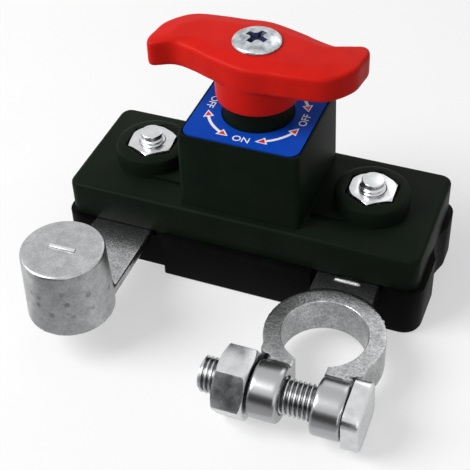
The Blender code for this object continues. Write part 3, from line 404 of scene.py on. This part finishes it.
# The finish of every CAD node, by how its name starts
FINISHES = {
    "lower_base": BASE_BLACK,
    "upper_cover": PHENOLIC,
    "dial_label": BLUE,
    "terminal_": ZINC,
    "rotor_seal": RUBBER,
    "rotor": NYLON,
    "contact_bridge": COPPER,
    "contact_spring": WIRE,
    "fixed_contact": COPPER,
    "knob_screw": SCREW_STEEL,
    "knob": RED,
    "stud_": STEEL,
    "clamp_": STEEL,
    "cover_screw": STEEL,
    "detent_ball": STEEL,
    "detent_spring": WIRE,
}


def finish_nodes():
    """Gives every CAD node the finish of the real piece."""
    for name, node in frame["nodes"].items():
        finish = next(material for opening, material in FINISHES.items() if name.startswith(opening))
        node.data.materials.clear()
        node.data.materials.append(finish)


finish_nodes()


# Modelling tools
def only(piece):
    """Makes the piece the one selected and active object."""
    bpy.ops.object.select_all(action="DESELECT")
    piece.select_set(True)
    bpy.context.view_layer.objects.active = piece


def start(kind, name, **settings):
    """Adds a primitive, sized and placed in millimetres, as the one selected object."""
    bpy.ops.object.select_all(action="DESELECT")
    for key in ("radius", "radius1", "radius2", "depth", "size"):
        if key in settings:
            settings[key] *= MM
    settings["location"] = Vector(settings.get("location", (0, 0, 0))) * MM
    getattr(bpy.ops.mesh, "primitive_" + kind + "_add")(**settings)
    made = bpy.context.object
    made.name = name
    return made


def settle(piece):
    """Puts the piece's place, turn and size into its mesh."""
    only(piece)
    bpy.ops.object.transform_apply(location=True, rotation=True, scale=True)
    return piece


def block(name, low, high):
    """A box between two corners."""
    made = start("cube", name, size=1, location=(Vector(low) + Vector(high)) / 2)
    made.scale = Vector(high) - Vector(low)
    return settle(made)


def rod(name, radius, low, high, vertices=64, centre=(0, 0)):
    """A round bar along Z at centre (x, y)."""
    place = (*centre, (low + high) / 2)
    return settle(start("cylinder", name, vertices=vertices, radius=radius, depth=high - low, location=place))


def cross_rod(name, radius, low, high, vertices, centre):
    """A round bar along X at centre (y, z)."""
    place, turn = ((low + high) / 2, *centre), (0, math.pi / 2, 0)
    sizes = {"vertices": vertices, "radius": radius, "depth": high - low}
    return settle(start("cylinder", name, **sizes, location=place, rotation=turn))


def taper(name, foot_radius, top_radius, foot, top, vertices=96, centre=(0, 0)):
    """A round taper along Z at centre (x, y)."""
    sizes = {"vertices": vertices, "radius1": foot_radius, "radius2": top_radius, "depth": top - foot}
    return settle(start("cone", name, **sizes, location=(*centre, (foot + top) / 2)))


def close_edit():
    bpy.ops.object.mode_set(mode="OBJECT")


def open_all(piece):
    """Opens the piece for editing with all of it selected, and makes one of points that meet."""
    only(piece)
    bpy.ops.object.mode_set(mode="EDIT")
    bpy.ops.mesh.select_all(action="SELECT")
    bpy.ops.mesh.remove_doubles(threshold=WELD * MM)
    bpy.ops.mesh.select_all(action="SELECT")


def pick(piece, kind, test):
    """Opens the piece for editing with the faces or edges that pass the test selected."""
    only(piece)
    bpy.ops.object.mode_set(mode="EDIT")
    bpy.ops.mesh.select_mode(type=kind)
    bpy.ops.mesh.select_all(action="DESELECT")
    close_edit()
    mesh = piece.data
    if kind == "FACE":
        for face in mesh.polygons:
            face.select = test(face.center / MM, face.normal)
    else:
        for edge in mesh.edges:
            a, b = (mesh.vertices[i].co / MM for i in edge.vertices)
            edge.select = test(a, b)
    bpy.ops.object.mode_set(mode="EDIT")


def any_face(centre, normal):
    return True


def upright(a, b):
    return abs(a.z - b.z) > 1


def at_top(level):
    """A test for edges that lie at a level or above it."""
    return lambda a, b: min(a.z, b.z) > level - NEAR


def at_foot(level):
    """A test for edges that lie at a level or below it."""
    return lambda a, b: max(a.z, b.z) < level + NEAR


def round_edges(piece, width, segments, test):
    """Bevels the edges that pass the test."""
    pick(piece, "EDGE", test)
    bpy.ops.mesh.bevel(offset=width * MM, segments=segments, affect="EDGES", clamp_overlap=True)
    close_edit()


def raise_faces(height):
    """Extrudes the selected faces upwards."""
    bpy.ops.mesh.extrude_region_move(TRANSFORM_OT_translate={"value": (0, 0, height * MM)})


def apply(piece, kind, **settings):
    """Adds a modifier and applies it."""
    only(piece)
    step = piece.modifiers.new(kind.lower(), kind)
    for key, value in settings.items():
        setattr(step, key, value)
    bpy.ops.object.modifier_apply(modifier=step.name)


def break_edges(piece, width, segments, degrees):
    """Bevels every edge that turns by more than an angle."""
    limit = math.radians(degrees)
    apply(piece, "BEVEL", width=width * MM, segments=segments, limit_method="ANGLE", angle_limit=limit)


def carve(piece, tool, operation="DIFFERENCE"):
    """Cuts the tool out of the piece, or keeps what they share, and removes the tool."""
    apply(piece, "BOOLEAN", object=tool, operation=operation, solver="EXACT")
    bpy.data.objects.remove(tool, do_unlink=True)


def merge(name, pieces):
    """Makes several objects one."""
    only(pieces[0])
    for piece in pieces:
        piece.select_set(True)
    bpy.ops.object.join()
    pieces[0].name = name
    return pieces[0]


def melt(piece, voxel, passes):
    """Runs overlapping solids into one skin with soft edges and corners, as a casting or moulding has."""
    apply(piece, "REMESH", mode="VOXEL", voxel_size=voxel * MM, adaptivity=0.0)
    apply(piece, "SMOOTH", factor=0.5, iterations=passes)


def outward(piece):
    """Turns every face outwards."""
    open_all(piece)
    bpy.ops.mesh.normals_make_consistent(inside=False)
    close_edit()


def copy_of(node, name):
    """A copy of a CAD node as one closed mesh with plain flat faces."""
    only(frame["nodes"][node])
    bpy.ops.object.duplicate()
    piece = bpy.context.object
    piece.name = name
    for key in list(piece.keys()):
        del piece[key]
    bpy.ops.object.parent_clear(type="CLEAR_KEEP_TRANSFORM")
    settle(piece)
    bpy.ops.mesh.customdata_custom_splitnormals_clear()
    open_all(piece)
    bpy.ops.mesh.dissolve_limited(angle_limit=math.radians(0.5))
    close_edit()
    return piece


def second_finish(piece, material, test):
    """Gives the faces that pass the test another finish."""
    piece.data.materials.append(material)
    pick(piece, "FACE", test)
    piece.active_material_index = len(piece.data.materials) - 1
    bpy.ops.object.material_slot_assign()
    close_edit()


def hand_over(piece, material, slot, body, degrees, *nodes):
    """Finishes a piece: its material, the body it rides on and the nodes it stands for. The slot is not used.

    Its faces are shaded smooth where they meet by less than an angle.
    """
    piece.data.materials.clear()
    piece.data.materials.append(material)
    only(piece)
    bpy.ops.object.shade_smooth_by_angle(angle=math.radians(degrees))
    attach(piece, body)
    if nodes:
        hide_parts(*nodes)


def flow(anchors, steps):
    """Points of a closed smooth curve through the anchors."""
    count = len(anchors)
    points = []
    for i in range(count):
        a, b, c, d = (Vector(anchors[(i + k) % count]) for k in (-1, 0, 1, 2))
        for t in (j / steps for j in range(steps)):
            bend = 2 * b + (c - a) * t + (2 * a - 5 * b + 4 * c - d) * t**2 + (3 * b - a - 3 * c + d) * t**3
            points.append(bend / 2)
    return points


# Housing
def make_moulding(node, name, material, width):
    """A moulding with its edges broken by the mould's polish, so that they catch a thin line of light."""
    piece = copy_of(node, name)
    break_edges(piece, width, 3, 40)
    hand_over(piece, material, "housing", "housing", 30, node)


# Fasteners
def helix(name, core, crest, pitch, low, high):
    """A thread's ridge along Z from low to high: a four-cornered profile swept by a Screw modifier."""
    foot, flank, tip = core - 0.15, 0.43 * pitch, 0.07 * pitch
    corners = ((foot, -flank), (crest, -tip), (crest, tip), (foot, flank))
    ridge = start("plane", name, size=1)
    order = [loop.vertex_index for loop in ridge.data.loops]
    for index, (radius, rise) in zip(order, corners):
        ridge.data.vertices[index].co = Vector((radius, 0, low + pitch / 2 + rise)) * MM
    pick(ridge, "FACE", any_face)
    bpy.ops.mesh.delete(type="ONLY_FACE")
    close_edit()

    turns = max(1, math.floor((high - low) / pitch - 1))
    sweep = {"screw_offset": pitch * MM, "iterations": turns, "steps": 36, "render_steps": 36}
    apply(ridge, "SCREW", **sweep, use_merge_vertices=False)
    pick(ridge, "EDGE", lambda a, b: False)
    bpy.ops.mesh.select_non_manifold()
    bpy.ops.mesh.fill_holes(sides=8)
    close_edit()
    outward(ridge)
    return ridge


def lay_along_x(piece):
    """Turns a piece that was made along Z so that it lies along X, on the clamp bolt's axis."""
    piece.rotation_euler = (0, math.pi / 2, 0)
    piece.location = Vector((0, *CLAMP_BOLT)) * MM
    settle(piece)


def hexagon_nut(name, across_flats, height, bore, foot, turned=0.5):
    """A hexagon nut along Z: its corners are turned off at both ends, and its bore is countersunk.

    The radius of the turned circle on each end is a share of the distance across its flats.
    """
    top = foot + height
    end = turned * across_flats
    wide = end + height / math.tan(math.radians(30))
    mouth, throat, sink = bore + 1.0, bore - 0.6, 0.8
    nut = start("cylinder", name, vertices=6, radius=across_flats / math.sqrt(3), depth=height)
    nut.location.z = (foot + top) / 2 * MM
    settle(nut)
    carve(nut, taper("turning", wide, end, foot, top), "INTERSECT")
    carve(nut, taper("turning", end, wide, foot, top), "INTERSECT")
    carve(nut, rod("bore", bore, foot - 1, top + 1, 48))
    carve(nut, taper("sink", mouth, throat, foot - sink, foot + sink, 48))
    carve(nut, taper("sink", throat, mouth, top - sink, top + sink, 48))
    break_edges(nut, 0.12, 2, 20)
    return nut


def make_stud(side):
    """A cable stud: M6 thread, flat end with its edge turned off, hexagon head under the bar."""
    node = "stud_bolt_" + side
    low, high = span(node)
    core, pitch = STUD_RADIUS - 0.35, 1.0
    head_height, thread_start = 4.0, 13.0
    shank = rod("shank", core, low.z + head_height - 0.4, high.z)
    round_edges(shank, 0.25, 3, at_top(high.z))
    head = hexagon_nut("head", STUD_FLATS, head_height, 1.2, low.z)
    ridge = helix("ridge", core, STUD_RADIUS, pitch, thread_start, high.z - 0.4)
    stud = merge("cable_stud_" + side, [shank, head, ridge])
    stud.location = STUD_AXES[side].to_3d() * MM
    settle(stud)
    hand_over(stud, STEEL, "plated_steel", "housing", 40, node)


def make_stud_nut(side, degrees):
    """The nut that clamps a bar to its contact, sunk in its boss and turned as the photo shows it."""
    node = "stud_nut_" + side
    low, high = span(node)
    bore = STUD_RADIUS + THREAD_PLAY
    nut = hexagon_nut("cable_nut_" + side, STUD_FLATS, high.z - low.z, bore, low.z, turned=0.515)
    nut.rotation_euler.z = math.radians(degrees)
    nut.location = STUD_AXES[side].to_3d() * MM
    settle(nut)
    hand_over(nut, STEEL, "plated_steel", "housing", 30, node)


def make_clamp_nut():
    """The M8 nut on the clamp bolt."""
    low, high = span("clamp_nut")
    across_flats = 13.6
    nut = hexagon_nut("post_clamp_nut", across_flats, high.x - low.x, BOLT_RADIUS + THREAD_PLAY, low.x)
    lay_along_x(nut)
    hand_over(nut, STEEL, "plated_steel", "housing", 30, "clamp_nut")


def make_clamp_bolt():
    """The clamp bolt: M8 thread along all of its shank, and a square head with its corners rounded off."""
    low, high = span("clamp_bolt")
    core, pitch = BOLT_RADIUS - 0.5, 1.0
    head_start, half, head_turn = high.x - BOLT_HEAD, 6.0, 8.0
    shank = rod("shank", core, low.x, head_start + 1, 48)
    round_edges(shank, 0.6, 2, at_foot(low.x))
    ridge = helix("ridge", core, BOLT_RADIUS, pitch, low.x - 0.3, head_start)
    head = block("head", (-half, -half, head_start), (half, half, high.x))
    round_edges(head, 2.9, 7, upright)
    round_edges(head, 0.7, 4, at_top(high.x))
    head.rotation_euler.z = math.radians(head_turn)
    settle(head)
    bolt = merge("post_clamp_bolt", [shank, ridge, head])
    lay_along_x(bolt)
    hand_over(bolt, STEEL, "plated_steel", "housing", 40, "clamp_bolt")


# Castings
def make_post():
    """The battery post and its bar, cast in one: a tapered plug with a soft rim, a flat bar and a minus."""
    low, high = span("terminal_post")
    x, y = POST_AXIS
    foot_radius, top_radius = 9.55, 9.0
    bar_foot, bar_left, bar_right = 9.6, -35.1, -20.9
    sign_half_length, sign_half_width = 3.0, 0.52
    plug = taper("plug", foot_radius, top_radius, low.z, POST_TOP, centre=POST_AXIS)
    round_edges(plug, 0.5, 3, at_top(POST_TOP))
    bar = block("bar", (bar_left, y, bar_foot), (bar_right, high.y, BAR_TOP))
    body = merge("battery_post", [plug, bar])
    melt(body, 0.3, 3)
    carve(body, rod("hole", STUD_HOLE, bar_foot - 1, BAR_TOP + 1, 48, STUD_AXES["left"]))
    sign_low = (x - sign_half_length, y - sign_half_width, POST_TOP - 0.3)
    sign = block("sign", sign_low, (x + sign_half_length, y + sign_half_width, high.z))
    round_edges(sign, 0.3, 4, at_top(high.z))
    body = merge("battery_post", [body, sign])
    hand_over(body, ZINC, "casting", "housing", 50, "terminal_post")


def make_clamp():
    """The post clamp, cast in one: open ring, ears, two bolt barrels and the bar to the switch."""
    high = span("terminal_clamp")[1]
    x, y = CLAMP_AXIS
    bolt_y, bolt_z = CLAMP_BOLT
    foot, top, ring_radius = 3.95, 12.35, 12.85
    gap_half, ear_half, ear_reach, web_half = 3.45, 11.2, 9.2, 3.5
    web_left, web_right = 17.5, 35.4
    bar_foot, bar_left, bar_right = 9.45, 19.05, 33.25
    dash_low, dash_high = (23.7, -16.8, BAR_TOP - 0.35), (29.0, -15.8, BAR_TOP + 0.4)
    bore, chamfer, sink = 9.15, 0.6, 0.5

    ring = rod("ring", ring_radius, foot, top, 96, CLAMP_AXIS)
    ears = block("ears", (x - ear_half, y - ear_reach, foot), (x + ear_half, y, top))
    round_edges(ears, 1.6, 3, lambda a, b: upright(a, b) and a.y < y - 1)
    webs = block("webs", (web_left, bolt_y + 5, bolt_z - web_half), (web_right, y - 8, bolt_z + web_half))
    for part in (ring, ears, webs):
        carve(part, block("gap", (x - gap_half, bolt_y - 8, foot - 4), (x + gap_half, y, top + 4)))
    barrels = []
    for first, last in ((16.6, 23.0), (29.9, 36.3)):
        barrel = cross_rod("barrel", BARREL_RADIUS, first, last, 64, CLAMP_BOLT)
        round_edges(barrel, 0.7, 3, lambda a, b: abs(a.x - b.x) < 0.1)
        barrels.append(barrel)
    bar = block("bar", (bar_left, y + 11, bar_foot), (bar_right, high.y, BAR_TOP))
    dash = block("dash", dash_low, dash_high)

    body = merge("post_clamp", [ring, ears, webs, *barrels, bar, dash])
    melt(body, 0.28, 3)
    carve(body, rod("bore", bore, foot - 1, top + 1, 96, CLAMP_AXIS))
    mouth, throat = bore + chamfer, bore - 0.3
    carve(body, taper("sink", mouth, throat, foot - sink, foot + sink, centre=CLAMP_AXIS))
    carve(body, taper("sink", throat, mouth, top - sink, top + sink, centre=CLAMP_AXIS))
    carve(body, cross_rod("bolt_hole", BOLT_RADIUS + 0.3, 14, 38, 48, CLAMP_BOLT))
    carve(body, rod("stud_hole", STUD_HOLE, bar_foot - 1, BAR_TOP + 1, 48, STUD_AXES["right"]))
    hand_over(body, ZINC, "casting", "housing", 40, "terminal_clamp")


# Knob
WING_HALF = (
    (0.0, -9.62),
    (5.77, -9.10),
    (10.85, -8.78),
    (17.62, -7.46),
    (21.84, -2.79),
    (22.80, 1.69),
    (22.98, 4.75),
    (21.45, 6.69),
    (16.97, 4.88),
    (12.20, 5.85),
    (7.68, 7.54),
)


def make_knob():
    """The wing knob, moulded in one: an S-shaped wing run smoothly into a round skirt.

    It is open underneath for its shaft. The photo's metal shows no red, so mirrors don't see it.
    """
    low, high = span("knob")
    outline = flow([*WING_HALF, *((-x, -y) for x, y in WING_HALF)], 6)
    wing_foot, shoulder = high.z - 6.5, high.z - 0.7
    skirt_foot_radius, skirt_top_radius, skirt_top = 9.1, 9.5, low.z + 8.5
    wing = start("circle", "wing", vertices=len(outline), radius=10, fill_type="NGON")
    for vertex, point in zip(wing.data.vertices, outline):
        vertex.co = Vector((*point, wing_foot)) * MM
    pick(wing, "FACE", any_face)
    raise_faces(shoulder - wing_foot)
    raise_faces(high.z - shoulder)
    bpy.ops.transform.resize(value=(0.8, 0.6, 1))
    close_edit()
    outward(wing)
    round_edges(wing, 1.4, 6, lambda a, b: max(abs(a.z - shoulder), abs(b.z - shoulder)) < NEAR)
    round_edges(wing, 0.7, 4, at_foot(wing_foot))

    skirt = taper("skirt", skirt_foot_radius, skirt_top_radius, low.z, skirt_top)
    round_edges(skirt, 0.4, 3, at_foot(low.z))
    body = merge("wing_knob", [wing, skirt])
    melt(body, 0.28, 10)
    socket_half = 3.9
    socket_low = (-socket_half, -socket_half, low.z - 1)
    carve(body, block("socket", socket_low, (socket_half, socket_half, low.z + 7.5)))
    carve(body, rod("screw_hole", 2.05, low.z + 7, high.z + 1, 32))
    body.visible_glossy = False
    hand_over(body, RED, "knob_red", "switch_rotor", 50, "knob")


def make_knob_screw():
    """The knob's screw: a wide shallow pan head with a cross recess, over a plain shank."""
    low, high = span("knob_screw")
    radius, rise, edge = 5.2, 1.05, 0.15
    brim = high.z - 1.5
    rim = brim + edge
    cross_half, cross_half_width, cross_foot = 2.85, 0.8, high.z - 1.35

    def dome(reach):
        """The head's height at a distance from its axis."""
        return rim + rise * math.sqrt(max(0.0, 1 - (reach / radius) ** 2))

    def in_recess(centre, normal):
        reach = centre.xy.length
        return reach < cross_half + 0.05 and brim < centre.z < dome(reach) - 0.06

    head = start("uv_sphere", "head", segments=96, ring_count=64, radius=1, location=(0, 0, rim))
    head.scale = (radius, radius, rise)
    settle(head)
    pick(head, "FACE", any_face)
    bpy.ops.mesh.bisect(plane_co=(0, 0, rim * MM), plane_no=(0, 0, 1), clear_inner=True, use_fill=False)
    close_edit()
    pick(head, "EDGE", at_foot(rim))
    bpy.ops.mesh.extrude_edges_move(TRANSFORM_OT_translate={"value": (0, 0, -edge * MM)})
    bpy.ops.mesh.edge_face_add()
    close_edit()
    outward(head)
    for degrees in (-22, 68):
        slot_low = (-cross_half, -cross_half_width, cross_foot)
        slot = block("cross", slot_low, (cross_half, cross_half_width, high.z - 0.1))
        pick(slot, "FACE", lambda centre, normal: normal.z < -0.5)
        bpy.ops.transform.resize(value=(0.55, 0.6, 1))
        close_edit()
        slot.rotation_euler.z = math.radians(degrees)
        settle(slot)
        carve(head, slot)
    carve(head, taper("sink", 0.9, 1.9, cross_foot, cross_foot + 2.1, 48))
    break_edges(head, 0.1, 2, 35)
    shank = rod("shank", 1.7, low.z, brim + 0.2, 32)
    screw = merge("knob_fixing_screw", [head, shank])
    hand_over(screw, SCREW_STEEL, "plated_steel", "switch_rotor", 40, "knob_screw")
    # Painted shade: the faces in the cross recess get the dark navy colour.
    second_finish(screw, RECESS_SHADE, in_recess)


# Dial marks
DIAL = span("dial_label")[1].z
ARROW_CIRCLE = 10.9
WORD_CIRCLE = 10.7


def spoke(degrees):
    """The unit vector away from the knob's axis at an angle."""
    angle = math.radians(degrees)
    return Vector((math.cos(angle), math.sin(angle), 0))


def arc_band(width, first, last):
    """A flat band along the arrows' circle, between two angles in degrees."""
    band = start("plane", "band", size=1)
    ends = [spoke(first) * (ARROW_CIRCLE + side * width / 2) for side in (-1, 1)]
    for vertex, point in zip(band.data.vertices, (*ends, *ends)):
        vertex.co = Vector((point.x, point.y, DIAL)) * MM
    open_all(band)
    bpy.ops.mesh.spin(steps=16, angle=math.radians(first - last), center=(0, 0, 0), axis=(0, 0, 1))
    close_edit()
    return band


def arrow_head(degrees, way, length, width):
    """A flat triangle that points along the arrows' circle, its base at the angle given."""
    outwards = spoke(degrees)
    base = outwards * ARROW_CIRCLE
    along = spoke(degrees + 90) * way
    tip = base + along * length - outwards * length**2 / (2 * ARROW_CIRCLE)
    head = start("circle", "head", vertices=3, radius=1, fill_type="NGON")
    corners = (tip, base - outwards * width / 2, base + outwards * width / 2)
    for vertex, point in zip(head.data.vertices, corners):
        vertex.co = Vector((point.x, point.y, DIAL)) * MM
    return head


def make_arrows():
    """Four double-headed arrows round the dial: red heads in a white outline, on a pale shaft."""
    for name, ink, thickness, length, width, degrees_out, band in (
        ("dial_arrows_white", WHITE_INK, 0.02, 2.4, 2.4, 0.0, 0.65),
        ("dial_arrows_red", RED_INK, 0.035, 1.55, 1.5, 1.6, 0.0),
    ):
        flat = []
        for quarter in (0, 90, 180, 270):
            first, last = quarter + 29, quarter + 61
            if band:
                flat.append(arc_band(band, first, last))
            for angle, way in ((first, -1), (last, 1)):
                flat.append(arrow_head(angle + way * degrees_out, way, length, width))
        arrows = merge(name, flat)
        pick(arrows, "FACE", any_face)
        raise_faces(thickness)
        close_edit()
        outward(arrows)
        hand_over(arrows, ink, "label", "housing", 20)


def make_words():
    """ON towards the front and back, OFF towards both ends, each with its head to the knob."""
    words = []
    for text, degrees in (("ON", -90), ("OFF", 0), ("ON", 90), ("OFF", 180)):
        bpy.ops.object.select_all(action="DESELECT")
        bpy.ops.object.text_add()
        letters = bpy.context.object.data
        letters.body = text
        letters.size = 2.5 * MM
        letters.align_x = "CENTER"
        letters.align_y = "CENTER"
        letters.extrude = 0.012 * MM
        letters.offset = 0.02 * MM
        bpy.ops.object.convert(target="MESH")
        word = bpy.context.object
        word.rotation_euler.z = math.radians(degrees + 90)
        word.location = (spoke(degrees) * WORD_CIRCLE + Vector((0, 0, DIAL + 0.012))) * MM
        words.append(settle(word))
    hand_over(merge("dial_words", words), WHITE_INK, "label", "housing", 20)


make_moulding("upper_cover", "housing_cover", PHENOLIC, 0.22)
make_moulding("lower_base", "housing_base", BASE_BLACK, 0.18)
make_stud("left")
make_stud("right")
make_stud_nut("left", 7)
make_stud_nut("right", 2)
make_clamp_nut()
make_clamp_bolt()
make_post()
make_clamp()
make_knob()
make_knob_screw()
make_arrows()
make_words()


# Studio: its places and sizes are in metres
GROUND = min(corner[2] for corner in cad_bounds)


def seen_rays(tree):
    """1 for what the camera, a mirror or glass shows, and 0 for light that only bounces."""
    seen = add_node(tree, "LightPath", "Is Camera Ray")
    for kind in ("Is Glossy Ray", "Is Transmission Ray"):
        ray = add_node(tree, "LightPath", kind)
        seen = add_node(tree, "Math", "Value", {0: seen, 1: ray}, operation="MAXIMUM")
    return seen


def make_floor():
    """A matt white paper floor. Half of what is seen of it is its own glow, so its shadow stays soft."""
    bpy.ops.object.select_all(action="DESELECT")
    bpy.ops.mesh.primitive_plane_add(size=6.0, location=(0, 0, GROUND - 0.02 * MM))
    floor = bpy.context.object
    floor.name = "studio_floor"
    made, tree, shader, place = new_material("floor_matte_white", specular=0.1)
    cloud = add_node(tree, "TexNoise", "Fac", {"Vector": place, "Scale": per_mm(60.0)})
    paper = add_node(tree, "ValToRGB", "Color", {"Fac": cloud}, between("F8F8F8", "FCFCFC"))
    seen = seen_rays(tree)
    colour = add_node(tree, "Mix", 2, {"Factor": seen, 6: "A0A0A0", 7: paper}, data_type="RGBA")
    join(tree, shader, Base_Color=colour, Roughness=0.9)
    half = add_node(tree, "Math", "Value", {0: seen, 1: 0.5}, operation="MULTIPLY")
    glow = add_node(tree, "Emission", "Emission", {"Color": "FFFFFF", "Strength": 1.0})
    lit = add_node(tree, "MixShader", "Shader", {0: half, 1: shader.outputs["BSDF"], 2: glow})
    feed(tree, tree.nodes["Material Output"].inputs["Surface"], lit)
    floor.data.materials.append(made)


def make_world():
    """A white surround, dimmer as light than it looks."""
    world = bpy.data.worlds.new("studio_world")
    SCENE.world = world
    world.use_nodes = True
    tree = world.node_tree
    tree.nodes.clear()
    ambient = add_node(tree, "Background", "Background", {"Color": "FFFFFF", "Strength": 0.27})
    shown = add_node(tree, "Background", "Background", {"Color": "FFFFFF", "Strength": 1.0})
    both = add_node(tree, "MixShader", "Shader", {0: seen_rays(tree), 1: ambient, 2: shown})
    output = tree.nodes.new("ShaderNodeOutputWorld")
    feed(tree, output.inputs["Surface"], both)


def make_dark_card():
    """A dark felt card that only mirrors see: a strip along the floor, standing up at its far end.

    It gives the nut, the barrels and the thread their dark bands, and is fainter near the object.
    """
    turn = math.radians(-23)
    middle = (-0.027, -0.295, GROUND + 0.5 * MM)
    width, length, upstand, flare = 0.22, 0.47, 0.26, 2.2
    far_edge = 480  # millimetres out along the strip
    bpy.ops.object.select_all(action="DESELECT")
    bpy.ops.mesh.primitive_plane_add(size=1.0, location=middle, rotation=(0, 0, turn))
    card = bpy.context.object
    card.name = "studio_dark_card"
    card.scale = (width, length, 1.0)
    settle(card)
    ahead = Vector((math.sin(turn), -math.cos(turn), 0))
    pick(card, "EDGE", lambda a, b: (a + b).dot(ahead) / 2 > far_edge)
    bpy.ops.transform.resize(value=(flare, flare, 1))
    bpy.ops.mesh.extrude_edges_move(TRANSFORM_OT_translate={"value": (0, 0, upstand)})
    close_edit()

    felt, tree, shader, place = new_material("card_dark_felt", specular=0.0)
    beside = within(tree, place, (0, 0, 0), (1, 1, 0), near=55, far=150)
    cover = add_node(tree, "MapRange", "Result", {"Value": beside, "To Min": 1.0, "To Max": 0.3})
    tufts = add_node(tree, "TexNoise", "Fac", {"Vector": place, "Scale": per_mm(4.0)})
    colour = add_node(tree, "ValToRGB", "Color", {"Fac": tufts}, between("38383A", "424244"))
    join(tree, shader, Base_Color=colour, Alpha=cover, Roughness=0.95)
    card.data.materials.append(felt)
    card.visible_camera = False
    card.visible_diffuse = False
    card.visible_shadow = False


def make_lamps():
    """A large key lamp from the upper left, and a weak fill and rim lamp."""
    aim = Vector((0, -0.02, 0.02))
    for name, place, size, power in (
        ("key_lamp", (-0.46, -0.32, 0.60), 0.5, 6.1),
        ("fill_lamp", (0.35, -0.55, 0.30), 0.6, 0.45),
        ("rim_lamp", (0.10, 0.55, 0.45), 0.4, 0.4),
    ):
        lamp = bpy.data.lights.new(name, "AREA")
        lamp.shape = "DISK"
        lamp.size = size
        lamp.energy = power
        holder = bpy.data.objects.new(name, lamp)
        SCENE.collection.objects.link(holder)
        holder.location = place
        holder.rotation_euler = (aim - Vector(place)).to_track_quat("-Z", "Y").to_euler()


def make_camera():
    """The photograph's viewpoint, from a fit of its known points."""
    elevation, azimuth, roll = (math.radians(angle) for angle in (42.291, 22.874, -2.395))
    target, distance = Vector((1.54, -19.586, 20.7)) * MM, 249.154 * MM
    flat = Vector((math.sin(azimuth), -math.cos(azimuth), 0))
    back = flat * math.cos(elevation) + Vector((0, 0, math.sin(elevation)))
    right = Vector((math.cos(azimuth), math.sin(azimuth), 0))
    up = back.cross(right)
    rolled_right = right * math.cos(roll) + up * math.sin(roll)
    rolled_up = up * math.cos(roll) - right * math.sin(roll)
    data = bpy.data.cameras.new("photo_camera")
    data.sensor_width = 36.0
    data.lens = 88.15
    data.clip_start = 0.01
    camera = bpy.data.objects.new("photo_camera", data)
    SCENE.collection.objects.link(camera)
    matrix = Matrix((rolled_right, rolled_up, back)).transposed().to_4x4()
    matrix.translation = target + back * distance
    camera.matrix_world = matrix
    SCENE.camera = camera


make_floor()
make_world()
make_dark_card()
make_lamps()
make_camera()
SCENE.view_settings.view_transform = "Standard"
